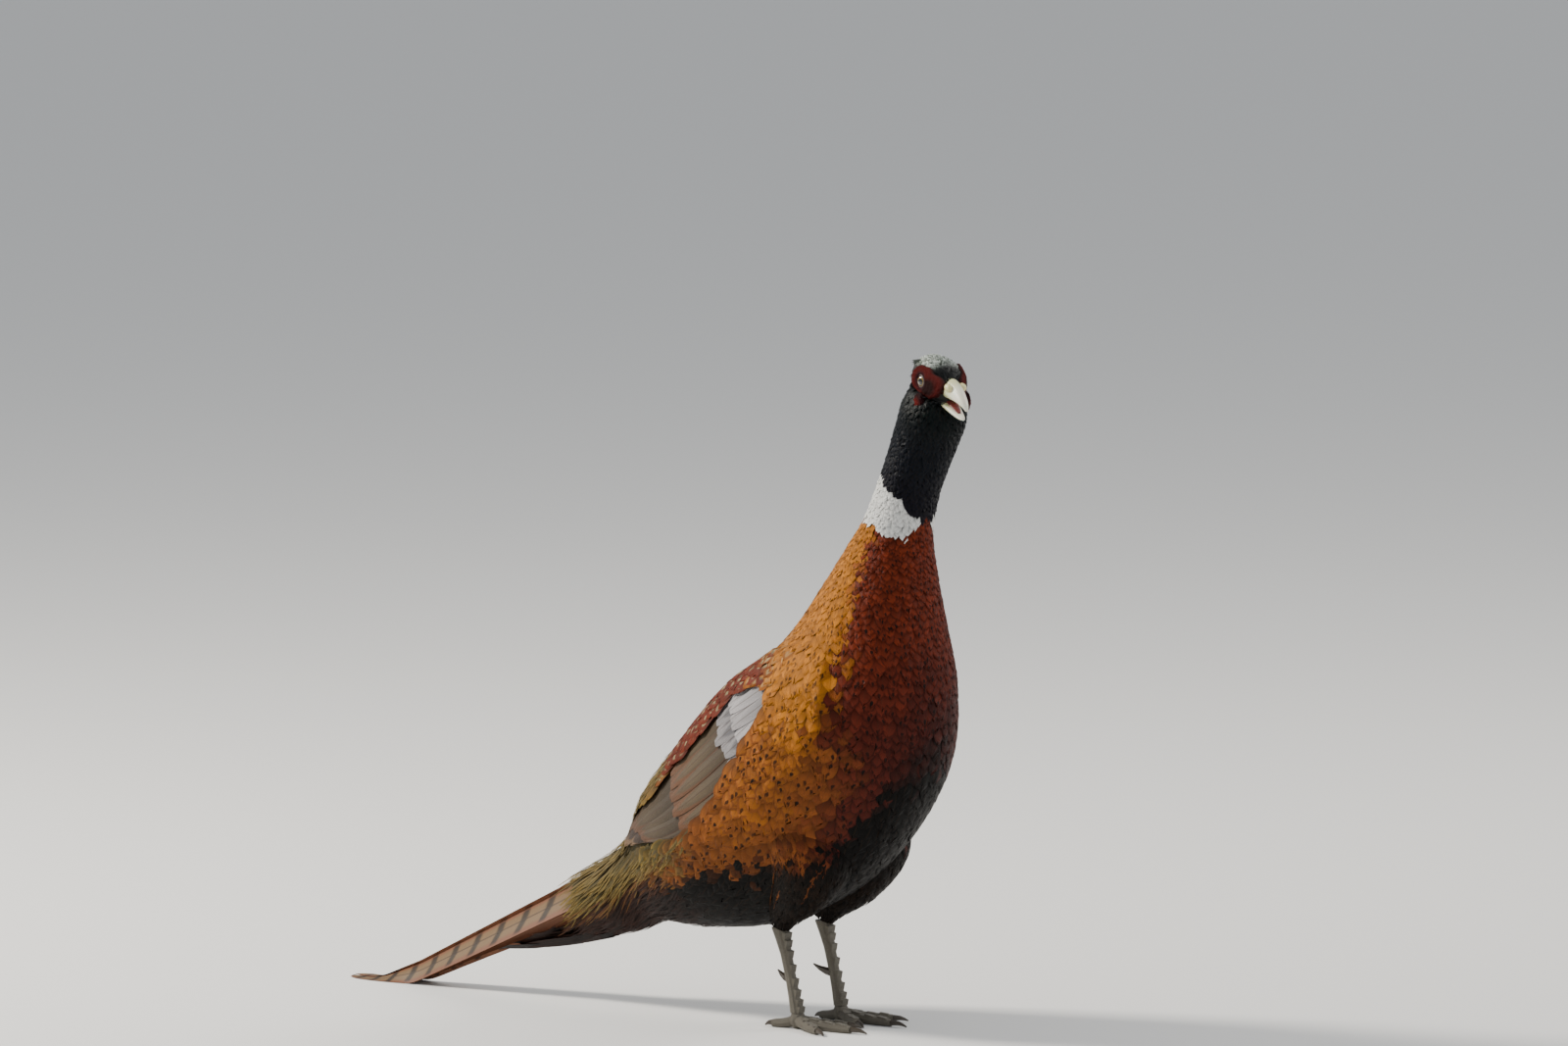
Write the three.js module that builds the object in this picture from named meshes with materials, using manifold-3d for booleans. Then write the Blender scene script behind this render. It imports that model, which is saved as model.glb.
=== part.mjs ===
// A cock common pheasant, life size, standing upright and alert with its head turned to its right,
// its bill a little open and the tip of its long tail laid on the ground.
// Millimetres. X points the way the breast faces, Y to the bird's left and Z up, with the floor at Z = 0.
import * as THREE from "three";
import { mergeVertices } from "three/addons/utils/BufferGeometryUtils.js";
import Module from "manifold-3d";

const wasm = await Module();
wasm.setup();

// Driving sizes
const GAP = 0.3;
const TRUNK_TAPER = 0.1;
const HEAD_CENTRE = new THREE.Vector3(118, 0, 505);
const HEAD_TURN = THREE.MathUtils.degToRad(-27);
const HEAD_DIP = THREE.MathUtils.degToRad(16);
const EYE = { x: 4, y: 13.8, z: -1.5, radius: 5.6 };
const WATTLE_RISE = 1.9;
const VANE = 0.9;
const STANCE = 27;
const HEEL_HEIGHT = 77;
const ANKLE_HEIGHT = 12;
const ANKLE = [3, STANCE];

// The trunk and neck: x, z, lean in degrees, half depth and half width of each section, rump to head.
const TRUNK = [
  [-185, 90, 20, 14, 18],
  [-158, 104, 23, 37, 36],
  [-123, 120, 28, 58, 51],
  [-78, 140, 34, 77, 64],
  [-28, 172, 42, 90, 73],
  [10, 208, 51, 91, 76],
  [39, 245, 60, 83, 72],
  [55, 285, 68, 68, 61],
  [62, 322, 73, 52, 49],
  [69, 354, 74, 39, 38],
  [78, 387, 72, 27, 27.5],
  [87, 415, 69, 23.5, 24],
  [97, 440, 66, 23.8, 23.5],
  [106, 462, 66, 25, 24.5],
  [112, 477, 67, 25.5, 25],
  [116, 490, 68, 22, 21],
  [118, 500, 68, 13, 13],
];
// The head, in its own frame: x, middle height, half height and half width of each section, nape to bill.
const SKULL = [
  [-27, -3, 3, 3],
  [-24, -3.2, 9.5, 9],
  [-17, -3, 14, 14],
  [-8, -2.2, 15.6, 17],
  [2, -2.2, 15.8, 18],
  [11, -3.2, 14.8, 16.5],
  [18, -4.8, 13, 13],
  [23, -5.8, 11.4, 9.6],
  [26.5, -6.2, 9.6, 7.2],
];
// The bill's two halves: x, top, bottom and half width of each section.
const UPPER_BILL = [
  [18, 6, -8.6, 8.4],
  [24, 6.6, -8.6, 7.6],
  [30, 6, -7.8, 6.5],
  [37, 3.7, -7, 5.2],
  [44, 0, -6.8, 3.9],
  [49, -3.6, -7.4, 2.5],
  [52, -6.8, -8.8, 1.2],
];
const LOWER_BILL = [
  [18, -10.2, -16.6, 8],
  [24, -11.2, -17.6, 7],
  [31, -12.6, -18.3, 5.7],
  [38, -13.9, -18.6, 4.4],
  [44, -15, -18.4, 3],
  [48, -15.9, -17.6, 1.4],
];
const TONGUE = [
  [22, -8.6, -11.6, 4.4],
  [30, -10.4, -13, 3.8],
  [36, -11.8, -14.2, 2.8],
  [41, -13.2, -15.2, 1.2],
];
// The edge of the bare face, seen from the side: x and z in the head's frame.
const WATTLE_OUTLINE = [
  [25, 3], [14, 6.5], [3, 9], [-5, 7.5], [-10, 2], [-12.5, -4], [-12, -12], [-8, -20],
  [2, -20], [8, -15], [18, -10.5], [25, -5],
];
const WATTLE_BULBS = [[14, 16.4, -7], [-8, 18, -6], [2, 19, -9.5], [-7, 17.4, -15]];
// The folded wing: station and angle in degrees of its upper edge, the same of its lower edge, and its rise.
const WING = [
  [7.1, 66, 6.9, 88, 2],
  [6.5, 46, 6.1, 100, 4.5],
  [5.4, 36, 5, 97, 5],
  [4.2, 31, 3.7, 92, 4.5],
  [3, 32, 2.7, 86, 3.5],
  [2, 38, 1.9, 74, 2.5],
  [1.1, 50, 1.1, 60, 1.5],
];
const WING_SHELL_END = 0.86;
// Tiers of feathers. The first of each two places on the wing is for the highest feather, the second the lowest.
const WING_TIERS = [
  { count: 4, width: 19, layer: 0.4, roots: [[0.7, 0.3], [0.66, 0.8]], tips: [[1, 0.2], [0.86, 0.98]] },
  { count: 6, width: 24, layer: 0.6, roots: [[0.45, 0.06], [0.5, 0.92]], tips: [[0.93, 0.12], [0.76, 0.98]] },
  { count: 5, width: 27, layer: 1.6, roots: [[0.34, 0.04], [0.4, 0.95]], tips: [[0.6, 0.04], [0.62, 0.96]] },
  { count: 5, width: 27, layer: 2.4, roots: [[0.2, 0.04], [0.24, 0.95]], tips: [[0.4, 0.04], [0.45, 0.95]] },
];
const WING_VANE_STEPS = 3;
// The tail: the root's x, top, bottom and half width, the ridge line's x and z, and where the feathers end.
const TAIL_ROOT = [
  [-150, 117, 64, 29],
  [-180, 111, 57, 28],
  [-206, 105.5, 54, 23],
  [-232, 91, 58, 13],
];
const TAIL_RIDGE = [
  [-150, 119],
  [-200, 108],
  [-260, 79],
  [-330, 45],
  [-390, 16],
  [-425, 3.2],
  [-438, 0.3],
  [-460, 0.3],
];
const TAIL_ROOT_X = -172;
const TAIL_FLAT_X = -380;
const TAIL_TIP_X = -452;
const TAIL_ENDS = [-458, -428, -398, -370, -342, -316, -294, -276, -260];
const TAIL_HALF = 16;
const UNDER_COVERT_END = -292;
const TAIL_STEP = 2;
const TAIL_FAN = 1.1;
const ROOF_SLOPE = 50;
// The legs, for the left side: x, y, z and radius.
const THIGH = [
  [16, 33, 160, 38],
  [20, 32, 134, 35],
  [8, 30, 108, 24],
  [-7, 28, 90, 14],
  [-14, STANCE, 76, 8.5],
  [-18, STANCE, 70, 7.5],
];
const SHANK = [
  [-15, STANCE, 82, 7],
  [-13, STANCE, 74, 6.4],
  [-9, STANCE, 60, 4.6],
  [-3, STANCE, 36, 4.2],
  [1, STANCE, 18, 4.8],
  [3, STANCE, 8, 5.4],
];
const SPUR = [
  [-5, 26, 37, 3.4],
  [-10, 25, 38, 3],
  [-15, 23.5, 40, 2],
  [-20, 22, 43, 0.6],
];
const SHANK_SCUTES = 8;
const SCUTE_PITCH = 6.6;
const SCUTE_TILT = 0.2;
const TOE_SCUTES = 3;
// The toes: name, turn from straight ahead towards the outside in degrees, and length.
const TOES = [
  ["inner", -32, 38],
  ["middle", -2, 50],
  ["outer", 30, 40],
  ["hind", 172, 22],
];

function clamp01(value) {
  return Math.min(1, Math.max(0, value));
}

// A smooth row of numbers through the rows of a table, at share t of its length.
function along(table, t) {
  const last = table.length - 1;
  const place = clamp01(t) * last;
  const i = Math.min(Math.floor(place), last - 1);
  const w = place - i;
  return table[i].map((value, k) => {
    const before = i > 0 ? table[i - 1][k] : 2 * value - table[i + 1][k];
    const next = table[i + 1][k];
    const after = i + 2 <= last ? table[i + 2][k] : 2 * next - value;
    const rise = (next - before) / 2;
    const fall = (after - value) / 2;
    return (2 * value - 2 * next + rise + fall) * w ** 3
      + (-3 * value + 3 * next - 2 * rise - fall) * w ** 2 + rise * w + value;
  });
}

// The trunk's point at a station (0 at the rump, 16 in the head) and angle (0 at the back, + to the left).
function trunkPoint(station, angle, grow = 0) {
  const [x, z, lean, depth, width] = along(TRUNK, station / (TRUNK.length - 1));
  const tilt = THREE.MathUtils.degToRad(lean);
  const out = (depth + grow) * Math.cos(angle);
  const side = (width + grow) * Math.sin(angle) * (1 - TRUNK_TAPER * Math.cos(angle));
  return new THREE.Vector3(x - Math.sin(tilt) * out, side, z + Math.cos(tilt) * out);
}

const headFrame = new THREE.Matrix4()
  .makeTranslation(HEAD_CENTRE.x, HEAD_CENTRE.y, HEAD_CENTRE.z)
  .multiply(new THREE.Matrix4().makeRotationZ(HEAD_TURN))
  .multiply(new THREE.Matrix4().makeRotationY(HEAD_DIP));

function skullPoint(t, angle, grow = 0) {
  const [x, middle, tall, wide] = along(SKULL, t);
  return new THREE.Vector3(x + grow * (2 * t - 1), (wide + grow) * Math.sin(angle),
    middle + (tall + grow) * Math.cos(angle)).applyMatrix4(headFrame);
}

// A round-edged bill section: the ridge is narrow and the cutting edge sharp.
function billPoint(table, t, angle, ridge, grow = 0) {
  const [x, top, bottom, wide] = along(table, t);
  const c = Math.cos(angle);
  const narrow = 1 - ridge * c;
  return new THREE.Vector3(x + grow * (2 * t - 1), (wide + grow) * Math.sin(angle) * narrow,
    (top + bottom) / 2 + ((top - bottom) / 2 + grow) * c).applyMatrix4(headFrame);
}

// Solids
function toSolid(geometry) {
  const bare = geometry.clone();
  bare.deleteAttribute("normal");
  bare.deleteAttribute("uv");
  const merged = mergeVertices(bare, 1e-4);
  const triVerts = new Uint32Array(merged.index.array);
  const make = () => new wasm.Manifold(new wasm.Mesh({
    numProp: 3,
    vertProperties: new Float32Array(merged.attributes.position.array),
    triVerts,
  }));
  const solid = make();
  if (solid.volume() > 0) return solid;
  for (let i = 0; i < triVerts.length; i += 3) {
    [triVerts[i + 1], triVerts[i + 2]] = [triVerts[i + 2], triVerts[i + 1]];
  }
  return make();
}

// A closed skin over section(t, angle), with flat ends: a ball whose rings are moved to the sections.
function loft(section, steps, around) {
  const geometry = new THREE.SphereGeometry(1, around, steps + 2);
  const at = geometry.attributes.position;
  for (let i = 0; i < at.count; i++) {
    const ring = Math.floor(i / (around + 1));
    const angle = (i % (around + 1)) % around / around * 2 * Math.PI;
    const t = clamp01((ring - 1) / steps);
    const pole = ring === 0 || ring === steps + 2;
    const point = pole
      ? section(t, 0).add(section(t, Math.PI)).multiplyScalar(0.5)
      : section(t, angle);
    at.setXYZ(i, point.x, point.y, point.z);
  }
  return toSolid(geometry);
}

// A round limb through points with a radius at each, as [x, y, z, radius] rows.
function limb(rows, steps, around) {
  return loft((t, angle) => {
    const [x, y, z, radius] = along(rows, t);
    const ahead = along(rows, clamp01(t + 0.01));
    const behind = along(rows, clamp01(t - 0.01));
    const way = new THREE.Vector3().fromArray(ahead).sub(new THREE.Vector3().fromArray(behind)).normalize();
    const side = new THREE.Vector3(0, 1, 0).cross(way);
    if (side.length() < 0.1) side.set(1, 0, 0);
    side.normalize();
    const other = new THREE.Vector3().crossVectors(way, side);
    return new THREE.Vector3(x, y, z)
      .addScaledVector(side, radius * Math.cos(angle))
      .addScaledVector(other, radius * Math.sin(angle));
  }, steps, around);
}

// A ball stretched to three half sizes, turned by a matrix.
function lump(halfX, halfY, halfZ, matrix, detail = 8) {
  const geometry = new THREE.SphereGeometry(1, detail, Math.max(4, detail / 2 + 1));
  return toSolid(geometry.scale(halfX, halfY, halfZ).applyMatrix4(matrix));
}

// A thin vane: centre(t) is its middle line from root to tip, across(t) the way its width runs, up(t) the way
// its outer face looks and half(t) its half width.
function vane({ centre, across, up, half, steps, thick = VANE }) {
  const geometry = new THREE.BoxGeometry(1, 1, 1, 1, 1, steps);
  const at = geometry.attributes.position;
  for (let i = 0; i < at.count; i++) {
    const t = clamp01(at.getZ(i) + 0.5);
    const point = centre(t)
      .addScaledVector(across(t), Math.sign(at.getX(i)) * half(t))
      .addScaledVector(up(t), Math.sign(at.getY(i)) * thick / 2);
    at.setXYZ(i, point.x, point.y, point.z);
  }
  return toSolid(geometry);
}

// Joins solids and keeps the largest closed surface.
function join(solids) {
  const whole = wasm.Manifold.union(solids);
  const pieces = whole.decompose().sort((a, b) => b.volume() - a.volume());
  return pieces[0];
}

function largest(solid) {
  return solid.decompose().sort((a, b) => b.volume() - a.volume())[0];
}

// A cut across the trunk through its back at one station and its front at another.
function slice(backStation, frontStation) {
  const back = trunkPoint(backStation, 0);
  const front = trunkPoint(frontStation, Math.PI);
  const normal = new THREE.Vector3(back.z - front.z, 0, front.x - back.x).normalize();
  return { normal: normal.toArray(), offset: normal.dot(back) };
}

// The part of a solid between two such cuts.
function between(solid, low, high) {
  let cut = solid;
  if (low) cut = cut.trimByPlane(low.normal, low.offset + GAP / 2);
  if (high) cut = cut.trimByPlane(high.normal.map((n) => -n), -(high.offset - GAP / 2));
  return largest(cut);
}

const bird = new THREE.Group();

function place(name, solid, [color, roughness, metalness]) {
  const mesh = solid.getMesh();
  const geometry = new THREE.BufferGeometry();
  geometry.setAttribute("position", new THREE.BufferAttribute(new Float32Array(mesh.vertProperties), 3));
  geometry.setIndex(new THREE.BufferAttribute(new Uint32Array(mesh.triVerts), 1));
  geometry.computeVertexNormals();
  const node = new THREE.Mesh(geometry, new THREE.MeshStandardMaterial({ color, roughness, metalness }));
  node.name = name;
  bird.add(node);
}

// Colours, roughness and metalness seen on the bird
const COPPER = [0x8a3a1c, 0.55, 0];
const STRAW = [0x9a8a58, 0.7, 0];
const WHITE = [0xe8e6de, 0.75, 0];
const GLOSSY_BLACK = [0x14211f, 0.35, 0.1];
const BRONZE_GREEN = [0x2c3a2a, 0.4, 0.1];
const RED_SKIN = [0xa8201a, 0.6, 0];
const HORN = [0xd9d3b8, 0.4, 0];
const YELLOW_IRIS = [0xc9a04a, 0.1, 0];
const GREY_WING = [0x9d9c8e, 0.65, 0];
const TAIL_BUFF = [0xa87a58, 0.6, 0];
const DARK_BROWN = [0x2a1d14, 0.65, 0];
const SCALE_GREY = [0x7b756a, 0.6, 0];
const CLAW_DARK = [0x3a332c, 0.45, 0];
const TONGUE_PINK = [0x9a3c3a, 0.5, 0];

// Trunk, collar and neck, modelled whole and parted with thin cuts
const LAST_STATION = TRUNK.length - 1;
const trunkSolid = (grow) => loft((t, angle) => trunkPoint(t * LAST_STATION, angle, grow), 26, 24);
const skullSolid = (grow) => loft((t, angle) => skullPoint(t, angle, grow), 9, 18);
const trunk = trunkSolid(0);
const trunkClear = trunkSolid(GAP);
const skullClear = skullSolid(GAP);
const rumpCut = slice(1.35, 1.35);
const mantleCut = slice(8.7, 8.7);
const collarLow = slice(10.1, 10.65);
const collarHigh = slice(11.7, 10.85);

place("rump", between(trunk, null, rumpCut), STRAW);
place("torso", between(trunk, rumpCut, mantleCut), COPPER);
place("neck_lower", between(trunk, mantleCut, collarLow), GLOSSY_BLACK);
place("collar", between(trunk, collarLow, collarHigh), WHITE);
place("neck_upper", largest(between(trunk, collarHigh, null).subtract(skullClear)), GLOSSY_BLACK);

// Head, bill, mouth and eyes
const inHead = (x, y, z) => headFrame.clone().multiply(new THREE.Matrix4().makeTranslation(x, y, z));
const SIDES = [["left", 1], ["right", -1]];
const eyeball = (side, grow) => toSolid(new THREE.SphereGeometry(EYE.radius + grow, 12, 8)
  .applyMatrix4(inHead(EYE.x, side * EYE.y, EYE.z)));
const mouthLine = toSolid(new THREE.BoxGeometry(16, 40, 1.5).applyMatrix4(inHead(25, 0, -9.4)));

let head = skullSolid(0).subtract(mouthLine);
for (const [, side] of SIDES) head = head.subtract(eyeball(side, GAP));
// Short ear tufts lie back behind the crown.
const earTuft = (side, n) => {
  const root = new THREE.Vector3(-13, side * (9 + n), 8 - 2.4 * n);
  const tip = new THREE.Vector3(-27 + 2 * n, side * (10.5 + 1.8 * n), 6 - 2.4 * n);
  return vane({
    centre: (t) => root.clone().lerp(tip, t).applyMatrix4(headFrame),
    across: () => new THREE.Vector3(0, 0.45 * side, -0.9).transformDirection(headFrame),
    up: () => new THREE.Vector3(0, 0.9 * side, 0.45).transformDirection(headFrame),
    half: (t) => 2.4 * roundTip(t),
    steps: 2,
  });
};
const tufts = SIDES.flatMap(([, side]) => [0, 1.5].map((n) => earTuft(side, n)));
place("head", largest(join([head, ...tufts])), BRONZE_GREEN);

const upperBill = (grow) => loft((t, angle) => billPoint(UPPER_BILL, t, angle, 0.25, grow), 7, 10);
let billTop = upperBill(0);
for (const [, side] of SIDES) {
  const cover = lump(3.6, 1.6, 1.7, inHead(31, side * 4.3, 2.2), 6);
  const nostril = toSolid(new THREE.BoxGeometry(4.6, 3, 0.8).applyMatrix4(inHead(31.5, side * 6.4, 0.2)));
  billTop = billTop.add(cover).subtract(nostril);
}
place("bill_upper", largest(billTop.subtract(skullClear)), HORN);
const lowerBill = (grow) => loft((t, angle) => billPoint(LOWER_BILL, t, angle, -0.2, grow), 6, 10);
place("bill_lower", largest(lowerBill(0).subtract(skullClear).subtract(trunkClear)), HORN);
const tongue = loft((t, angle) => billPoint(TONGUE, t, angle, 0), 4, 8);
const freeTongue = tongue.subtract(lowerBill(GAP)).subtract(skullClear).subtract(trunkClear);
place("tongue", largest(freeTongue), TONGUE_PINK);

// The bare red skin of the face, standing proud of the skull, with a lobe that hangs over the throat
function wattle(side) {
  const outline = new THREE.Shape(WATTLE_OUTLINE.map(([x, z]) => new THREE.Vector2(x, z)));
  const slab = new THREE.ExtrudeGeometry(outline, { depth: 20, bevelEnabled: false, steps: 1 })
    .applyMatrix4(new THREE.Matrix4().makeRotationX(Math.PI / 2))
    .translate(0, side > 0 ? 26 : -6, 0);
  const skin = skullSolid(WATTLE_RISE).intersect(toSolid(slab.applyMatrix4(headFrame)));
  const lid = new THREE.TorusGeometry(5, 0.9, 5, 14).rotateX(Math.PI / 2)
    .applyMatrix4(inHead(EYE.x, side * 18.9, EYE.z));
  const hang = inHead(-2, side * 14.5, -18).multiply(new THREE.Matrix4().makeRotationX(side * 0.2));
  const lobe = lump(8, 4.6, 10, hang, 10);
  const bulbs = WATTLE_BULBS.map(([x, y, z]) => lump(2, 1.5, 2, inHead(x, side * y, z), 5));
  return largest(join([skin, toSolid(lid), lobe, ...bulbs])
    .subtract(skullClear).subtract(trunkClear).subtract(upperBill(GAP)).subtract(lowerBill(GAP))
    .subtract(eyeball(side, GAP)));
}
for (const [name, side] of SIDES) {
  place(`eye_${name}`, eyeball(side, 0), YELLOW_IRIS);
  place(`wattle_${name}`, wattle(side), RED_SKIN);
}

// Folded wings. Each is a shell that lies on the trunk from the wrist back, with tiers of feathers on it.
// A place on the wing is s from the wrist back and v from its upper edge down, lifted off the trunk.
function wingPoint(s, v, side, lift) {
  const [topStation, topAngle, lowStation, lowAngle] = along(WING, s);
  const angle = THREE.MathUtils.degToRad(THREE.MathUtils.lerp(topAngle, lowAngle, v));
  return trunkPoint(THREE.MathUtils.lerp(topStation, lowStation, v), side * angle, lift);
}
function wingRise(s, v) {
  return along(WING, s)[4] * (0.3 + 0.7 * Math.sqrt(Math.sin(Math.PI * clamp01(v))));
}
function wingShell(side) {
  const geometry = new THREE.BoxGeometry(1, 1, 1, 4, 1, 7);
  const at = geometry.attributes.position;
  for (let i = 0; i < at.count; i++) {
    const s = (at.getZ(i) + 0.5) * WING_SHELL_END;
    const v = at.getX(i) + 0.5;
    const point = wingPoint(s, v, side, at.getY(i) > 0 ? wingRise(s, v) : -2);
    at.setXYZ(i, point.x, point.y, point.z);
  }
  return toSolid(geometry);
}
// One feather of a tier, its root sunk in the shell and its tip standing proud of what lies behind it.
function wingVane({ from, to, width, side, layer }) {
  const place = (t, dv = 0, lift = 0) => {
    const s = THREE.MathUtils.lerp(from[0], to[0], t);
    const v = THREE.MathUtils.lerp(from[1], to[1], t);
    const rise = Math.max(wingRise(Math.min(s, WING_SHELL_END), v), 1.2);
    const sink = (1 - t) ** 2 * Math.min(3, rise * 0.8);
    return wingPoint(s, v + dv, side, rise - sink + layer * (0.3 + 0.7 * t) + lift);
  };
  const across = (t) => place(t, 0.02).sub(place(t, -0.02)).normalize();
  const up = (t) => place(t, 0, 1).sub(place(t)).normalize();
  return vane({ centre: place, across, up, half: (t) => width / 2 * roundTip(t), steps: WING_VANE_STEPS });
}
// A feather's half width along its length: narrow at the root, full along the middle and round at the tip.
function roundTip(t) {
  return t < 0.6 ? 0.6 + 0.4 * t / 0.6 : 0.22 + 0.78 * Math.sqrt(1 - ((t - 0.6) / 0.4) ** 2 * 0.96);
}
function wing(side) {
  const pieces = [wingShell(side)];
  for (const tier of WING_TIERS) {
    for (let i = 0; i < tier.count; i++) {
      const share = tier.count > 1 ? i / (tier.count - 1) : 0;
      const mix = ([high, low]) => high.map((value, k) => THREE.MathUtils.lerp(value, low[k], share));
      pieces.push(wingVane({
        from: mix(tier.roots),
        to: mix(tier.tips),
        width: tier.width,
        side,
        layer: tier.layer + (i % 2) * (VANE + GAP),
      }));
    }
  }
  return largest(join(pieces).subtract(trunkClear));
}
for (const [name, side] of SIDES) place(`wing_${name}`, wing(side), GREY_WING);

// The tail: a root under the coverts, and pairs of long feathers laid like a roof, the longest pair on top.
const tailRoot = loft((t, angle) => {
  const [x, top, bottom, wide] = along(TAIL_ROOT, t);
  const c = Math.cos(angle);
  const height = (top + bottom) / 2 + (top - bottom) / 2 * c;
  return new THREE.Vector3(x, wide * Math.sin(angle) * (1 - 0.35 * c), height);
}, TAIL_ROOT.length - 1, 14);
const ridgeHeight = (x) => {
  const i = Math.max(0, TAIL_RIDGE.findIndex((row, n) => n > 0 && row[0] <= x) - 1);
  const [x0, z0] = TAIL_RIDGE[i];
  const [x1, z1] = TAIL_RIDGE[i + 1];
  return THREE.MathUtils.lerp(z0, z1, (x0 - x) / (x0 - x1));
};
function tailVane(pair, side) {
  const endX = TAIL_ENDS[pair];
  const xAt = (t) => THREE.MathUtils.lerp(TAIL_ROOT_X, endX, 1 - (1 - t) ** 1.6);
  const rounding = (t) => (t > 0.9 ? 1 - ((t - 0.9) / 0.1) ** 2 * 0.75 : 1);
  const half = (t) => (TAIL_HALF - pair * 0.5) * (1 - 0.62 * t ** 1.3) * rounding(t);
  const flatten = (x) => THREE.MathUtils.smoothstep(x, TAIL_TIP_X, TAIL_FLAT_X);
  const slope = (x) => THREE.MathUtils.degToRad(ROOF_SLOPE) * flatten(x);
  const across = (t) => {
    const tilt = slope(xAt(t));
    return new THREE.Vector3(0, side * Math.cos(tilt), -Math.sin(tilt));
  };
  const up = (t) => {
    const tilt = slope(xAt(t));
    return new THREE.Vector3(0, side * Math.sin(tilt), Math.cos(tilt));
  };
  const centre = (t) => {
    const x = xAt(t);
    return new THREE.Vector3(x, side * GAP, ridgeHeight(x) - pair * TAIL_STEP)
      .addScaledVector(across(t), half(t) + pair * TAIL_FAN * (1 - t * 0.6));
  };
  return vane({ centre, across, up, half, steps: pair < 3 ? 6 : 3 });
}
const tailPieces = [tailRoot];
for (let pair = 0; pair < TAIL_ENDS.length; pair++) {
  for (const [, side] of SIDES) tailPieces.push(tailVane(pair, side));
}
// Short coverts close the tail from below.
for (const [n, y] of [-15, -7.5, 0, 7.5, 15].entries()) {
  const drop = (n % 2) * (VANE + GAP);
  tailPieces.push(vane({
    centre: (t) => new THREE.Vector3(
      THREE.MathUtils.lerp(-190, UNDER_COVERT_END + Math.abs(y), t),
      y * (1 - 0.5 * t),
      THREE.MathUtils.lerp(63, 43, t) - drop + Math.abs(y) * 0.5,
    ),
    across: () => new THREE.Vector3(0, Math.cos(y * 0.03), Math.sin(y * 0.03)),
    up: () => new THREE.Vector3(0, -Math.sin(y * 0.03), Math.cos(y * 0.03)),
    half: (t) => 8 * roundTip(t),
    steps: 3,
  }));
}
const freeTail = join(tailPieces).subtract(trunkSolid(1.2 * GAP)).trimByPlane([0, 0, 1], 0);
place("tail", largest(freeTail), TAIL_BUFF);

// Legs. The feathered thigh ends at the heel; the scaled shank stands on the foot.
const mirror = (rows, side, grow = 0) => rows.map(([x, y, z, r]) => [x, side * y, z, r + grow]);
for (const [name, side] of SIDES) {
  const thigh = limb(mirror(THIGH, side), 8, 14).trimByPlane([0, 0, 1], HEEL_HEIGHT + GAP / 2);
  place(`thigh_${name}`, largest(thigh.subtract(trunkClear)), DARK_BROWN);

  const shank = limb(mirror(SHANK, side), 7, 10);
  const scutes = [];
  for (let i = 0; i < SHANK_SCUTES; i++) {
    const [x, y, z, radius] = along(mirror(SHANK, side), 0.26 + 0.6 * i / (SHANK_SCUTES - 1));
    const turn = new THREE.Matrix4().makeTranslation(x + radius * 0.72, y, z).multiply(
      new THREE.Matrix4().makeRotationY(SCUTE_TILT));
    scutes.push(toSolid(new THREE.BoxGeometry(3.4, radius * 1.5, SCUTE_PITCH * 0.86).applyMatrix4(turn)));
  }
  place(`shank_${name}`, largest(join([shank, ...scutes]).trimByPlane([0, 0, -1], -(HEEL_HEIGHT - GAP / 2))
    .trimByPlane([0, 0, 1], ANKLE_HEIGHT + GAP / 2)), SCALE_GREY);
  const spur = limb(mirror(SPUR, side), 3, 6);
  place(`spur_${name}`, largest(spur.subtract(limb(mirror(SHANK, side, GAP), 7, 10))), CLAW_DARK);

  const foot = [lump(6.5, 6.5, 8, new THREE.Matrix4().makeTranslation(ANKLE[0], side * ANKLE[1], 7), 8)];
  for (const [toe, yaw, length] of TOES) {
    const turn = THREE.MathUtils.degToRad(yaw) * side;
    const reach = (share, z, radius, offset = 0) => [
      ANKLE[0] + Math.cos(turn) * length * share,
      side * ANKLE[1] + Math.sin(turn) * length * share,
      z, radius + offset,
    ];
    const rows = [
      reach(0, 6.5, 5), reach(0.2, 5.5, 4.3), reach(0.5, 3.6, 3.9), reach(0.8, 3.2, 3.5), reach(1, 3, 2.9),
    ];
    const claw = [reach(0.9, 3.1, 2.4), reach(1.08, 3.3, 2.1), reach(1.2, 2.7, 1.4), reach(1.3, 1.2, 0.6)];
    foot.push(limb(rows, 5, 8));
    for (let i = 0; i < TOE_SCUTES && toe !== "hind"; i++) {
      const [x, y, z, radius] = along(rows, 0.36 + 0.21 * i);
      const lie = new THREE.Matrix4().makeTranslation(x, y, z + radius * 0.74)
        .multiply(new THREE.Matrix4().makeRotationZ(turn)).multiply(new THREE.Matrix4().makeRotationY(0.16));
      foot.push(toSolid(new THREE.BoxGeometry(length * 0.17, radius * 1.3, 2.4).applyMatrix4(lie)));
    }
    const endNormal = [Math.cos(turn), Math.sin(turn), 0];
    const end = ANKLE[0] * endNormal[0] + side * ANKLE[1] * endNormal[1] + length;
    place(`claw_${toe}_${name}`, largest(limb(claw, 4, 6).trimByPlane(endNormal, end + GAP)
      .trimByPlane([0, 0, 1], 0)), CLAW_DARK);
  }
  place(`foot_${name}`, largest(join(foot).trimByPlane([0, 0, -1], -(ANKLE_HEIGHT - GAP / 2))
    .trimByPlane([0, 0, 1], 0)), SCALE_GREY);
}

// The whole stands with its lowest point at Z = 0 and the middle of its box over the origin.
bird.updateMatrixWorld(true);
const box = new THREE.Box3().setFromObject(bird);
const centre = box.getCenter(new THREE.Vector3());
bird.position.set(-centre.x, -centre.y, -box.min.z);
const pheasant = new THREE.Group();
pheasant.name = "common_pheasant";
pheasant.add(bird);

export default pheasant;
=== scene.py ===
import math

import bpy
import numpy as np
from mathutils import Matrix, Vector, kdtree


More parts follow.
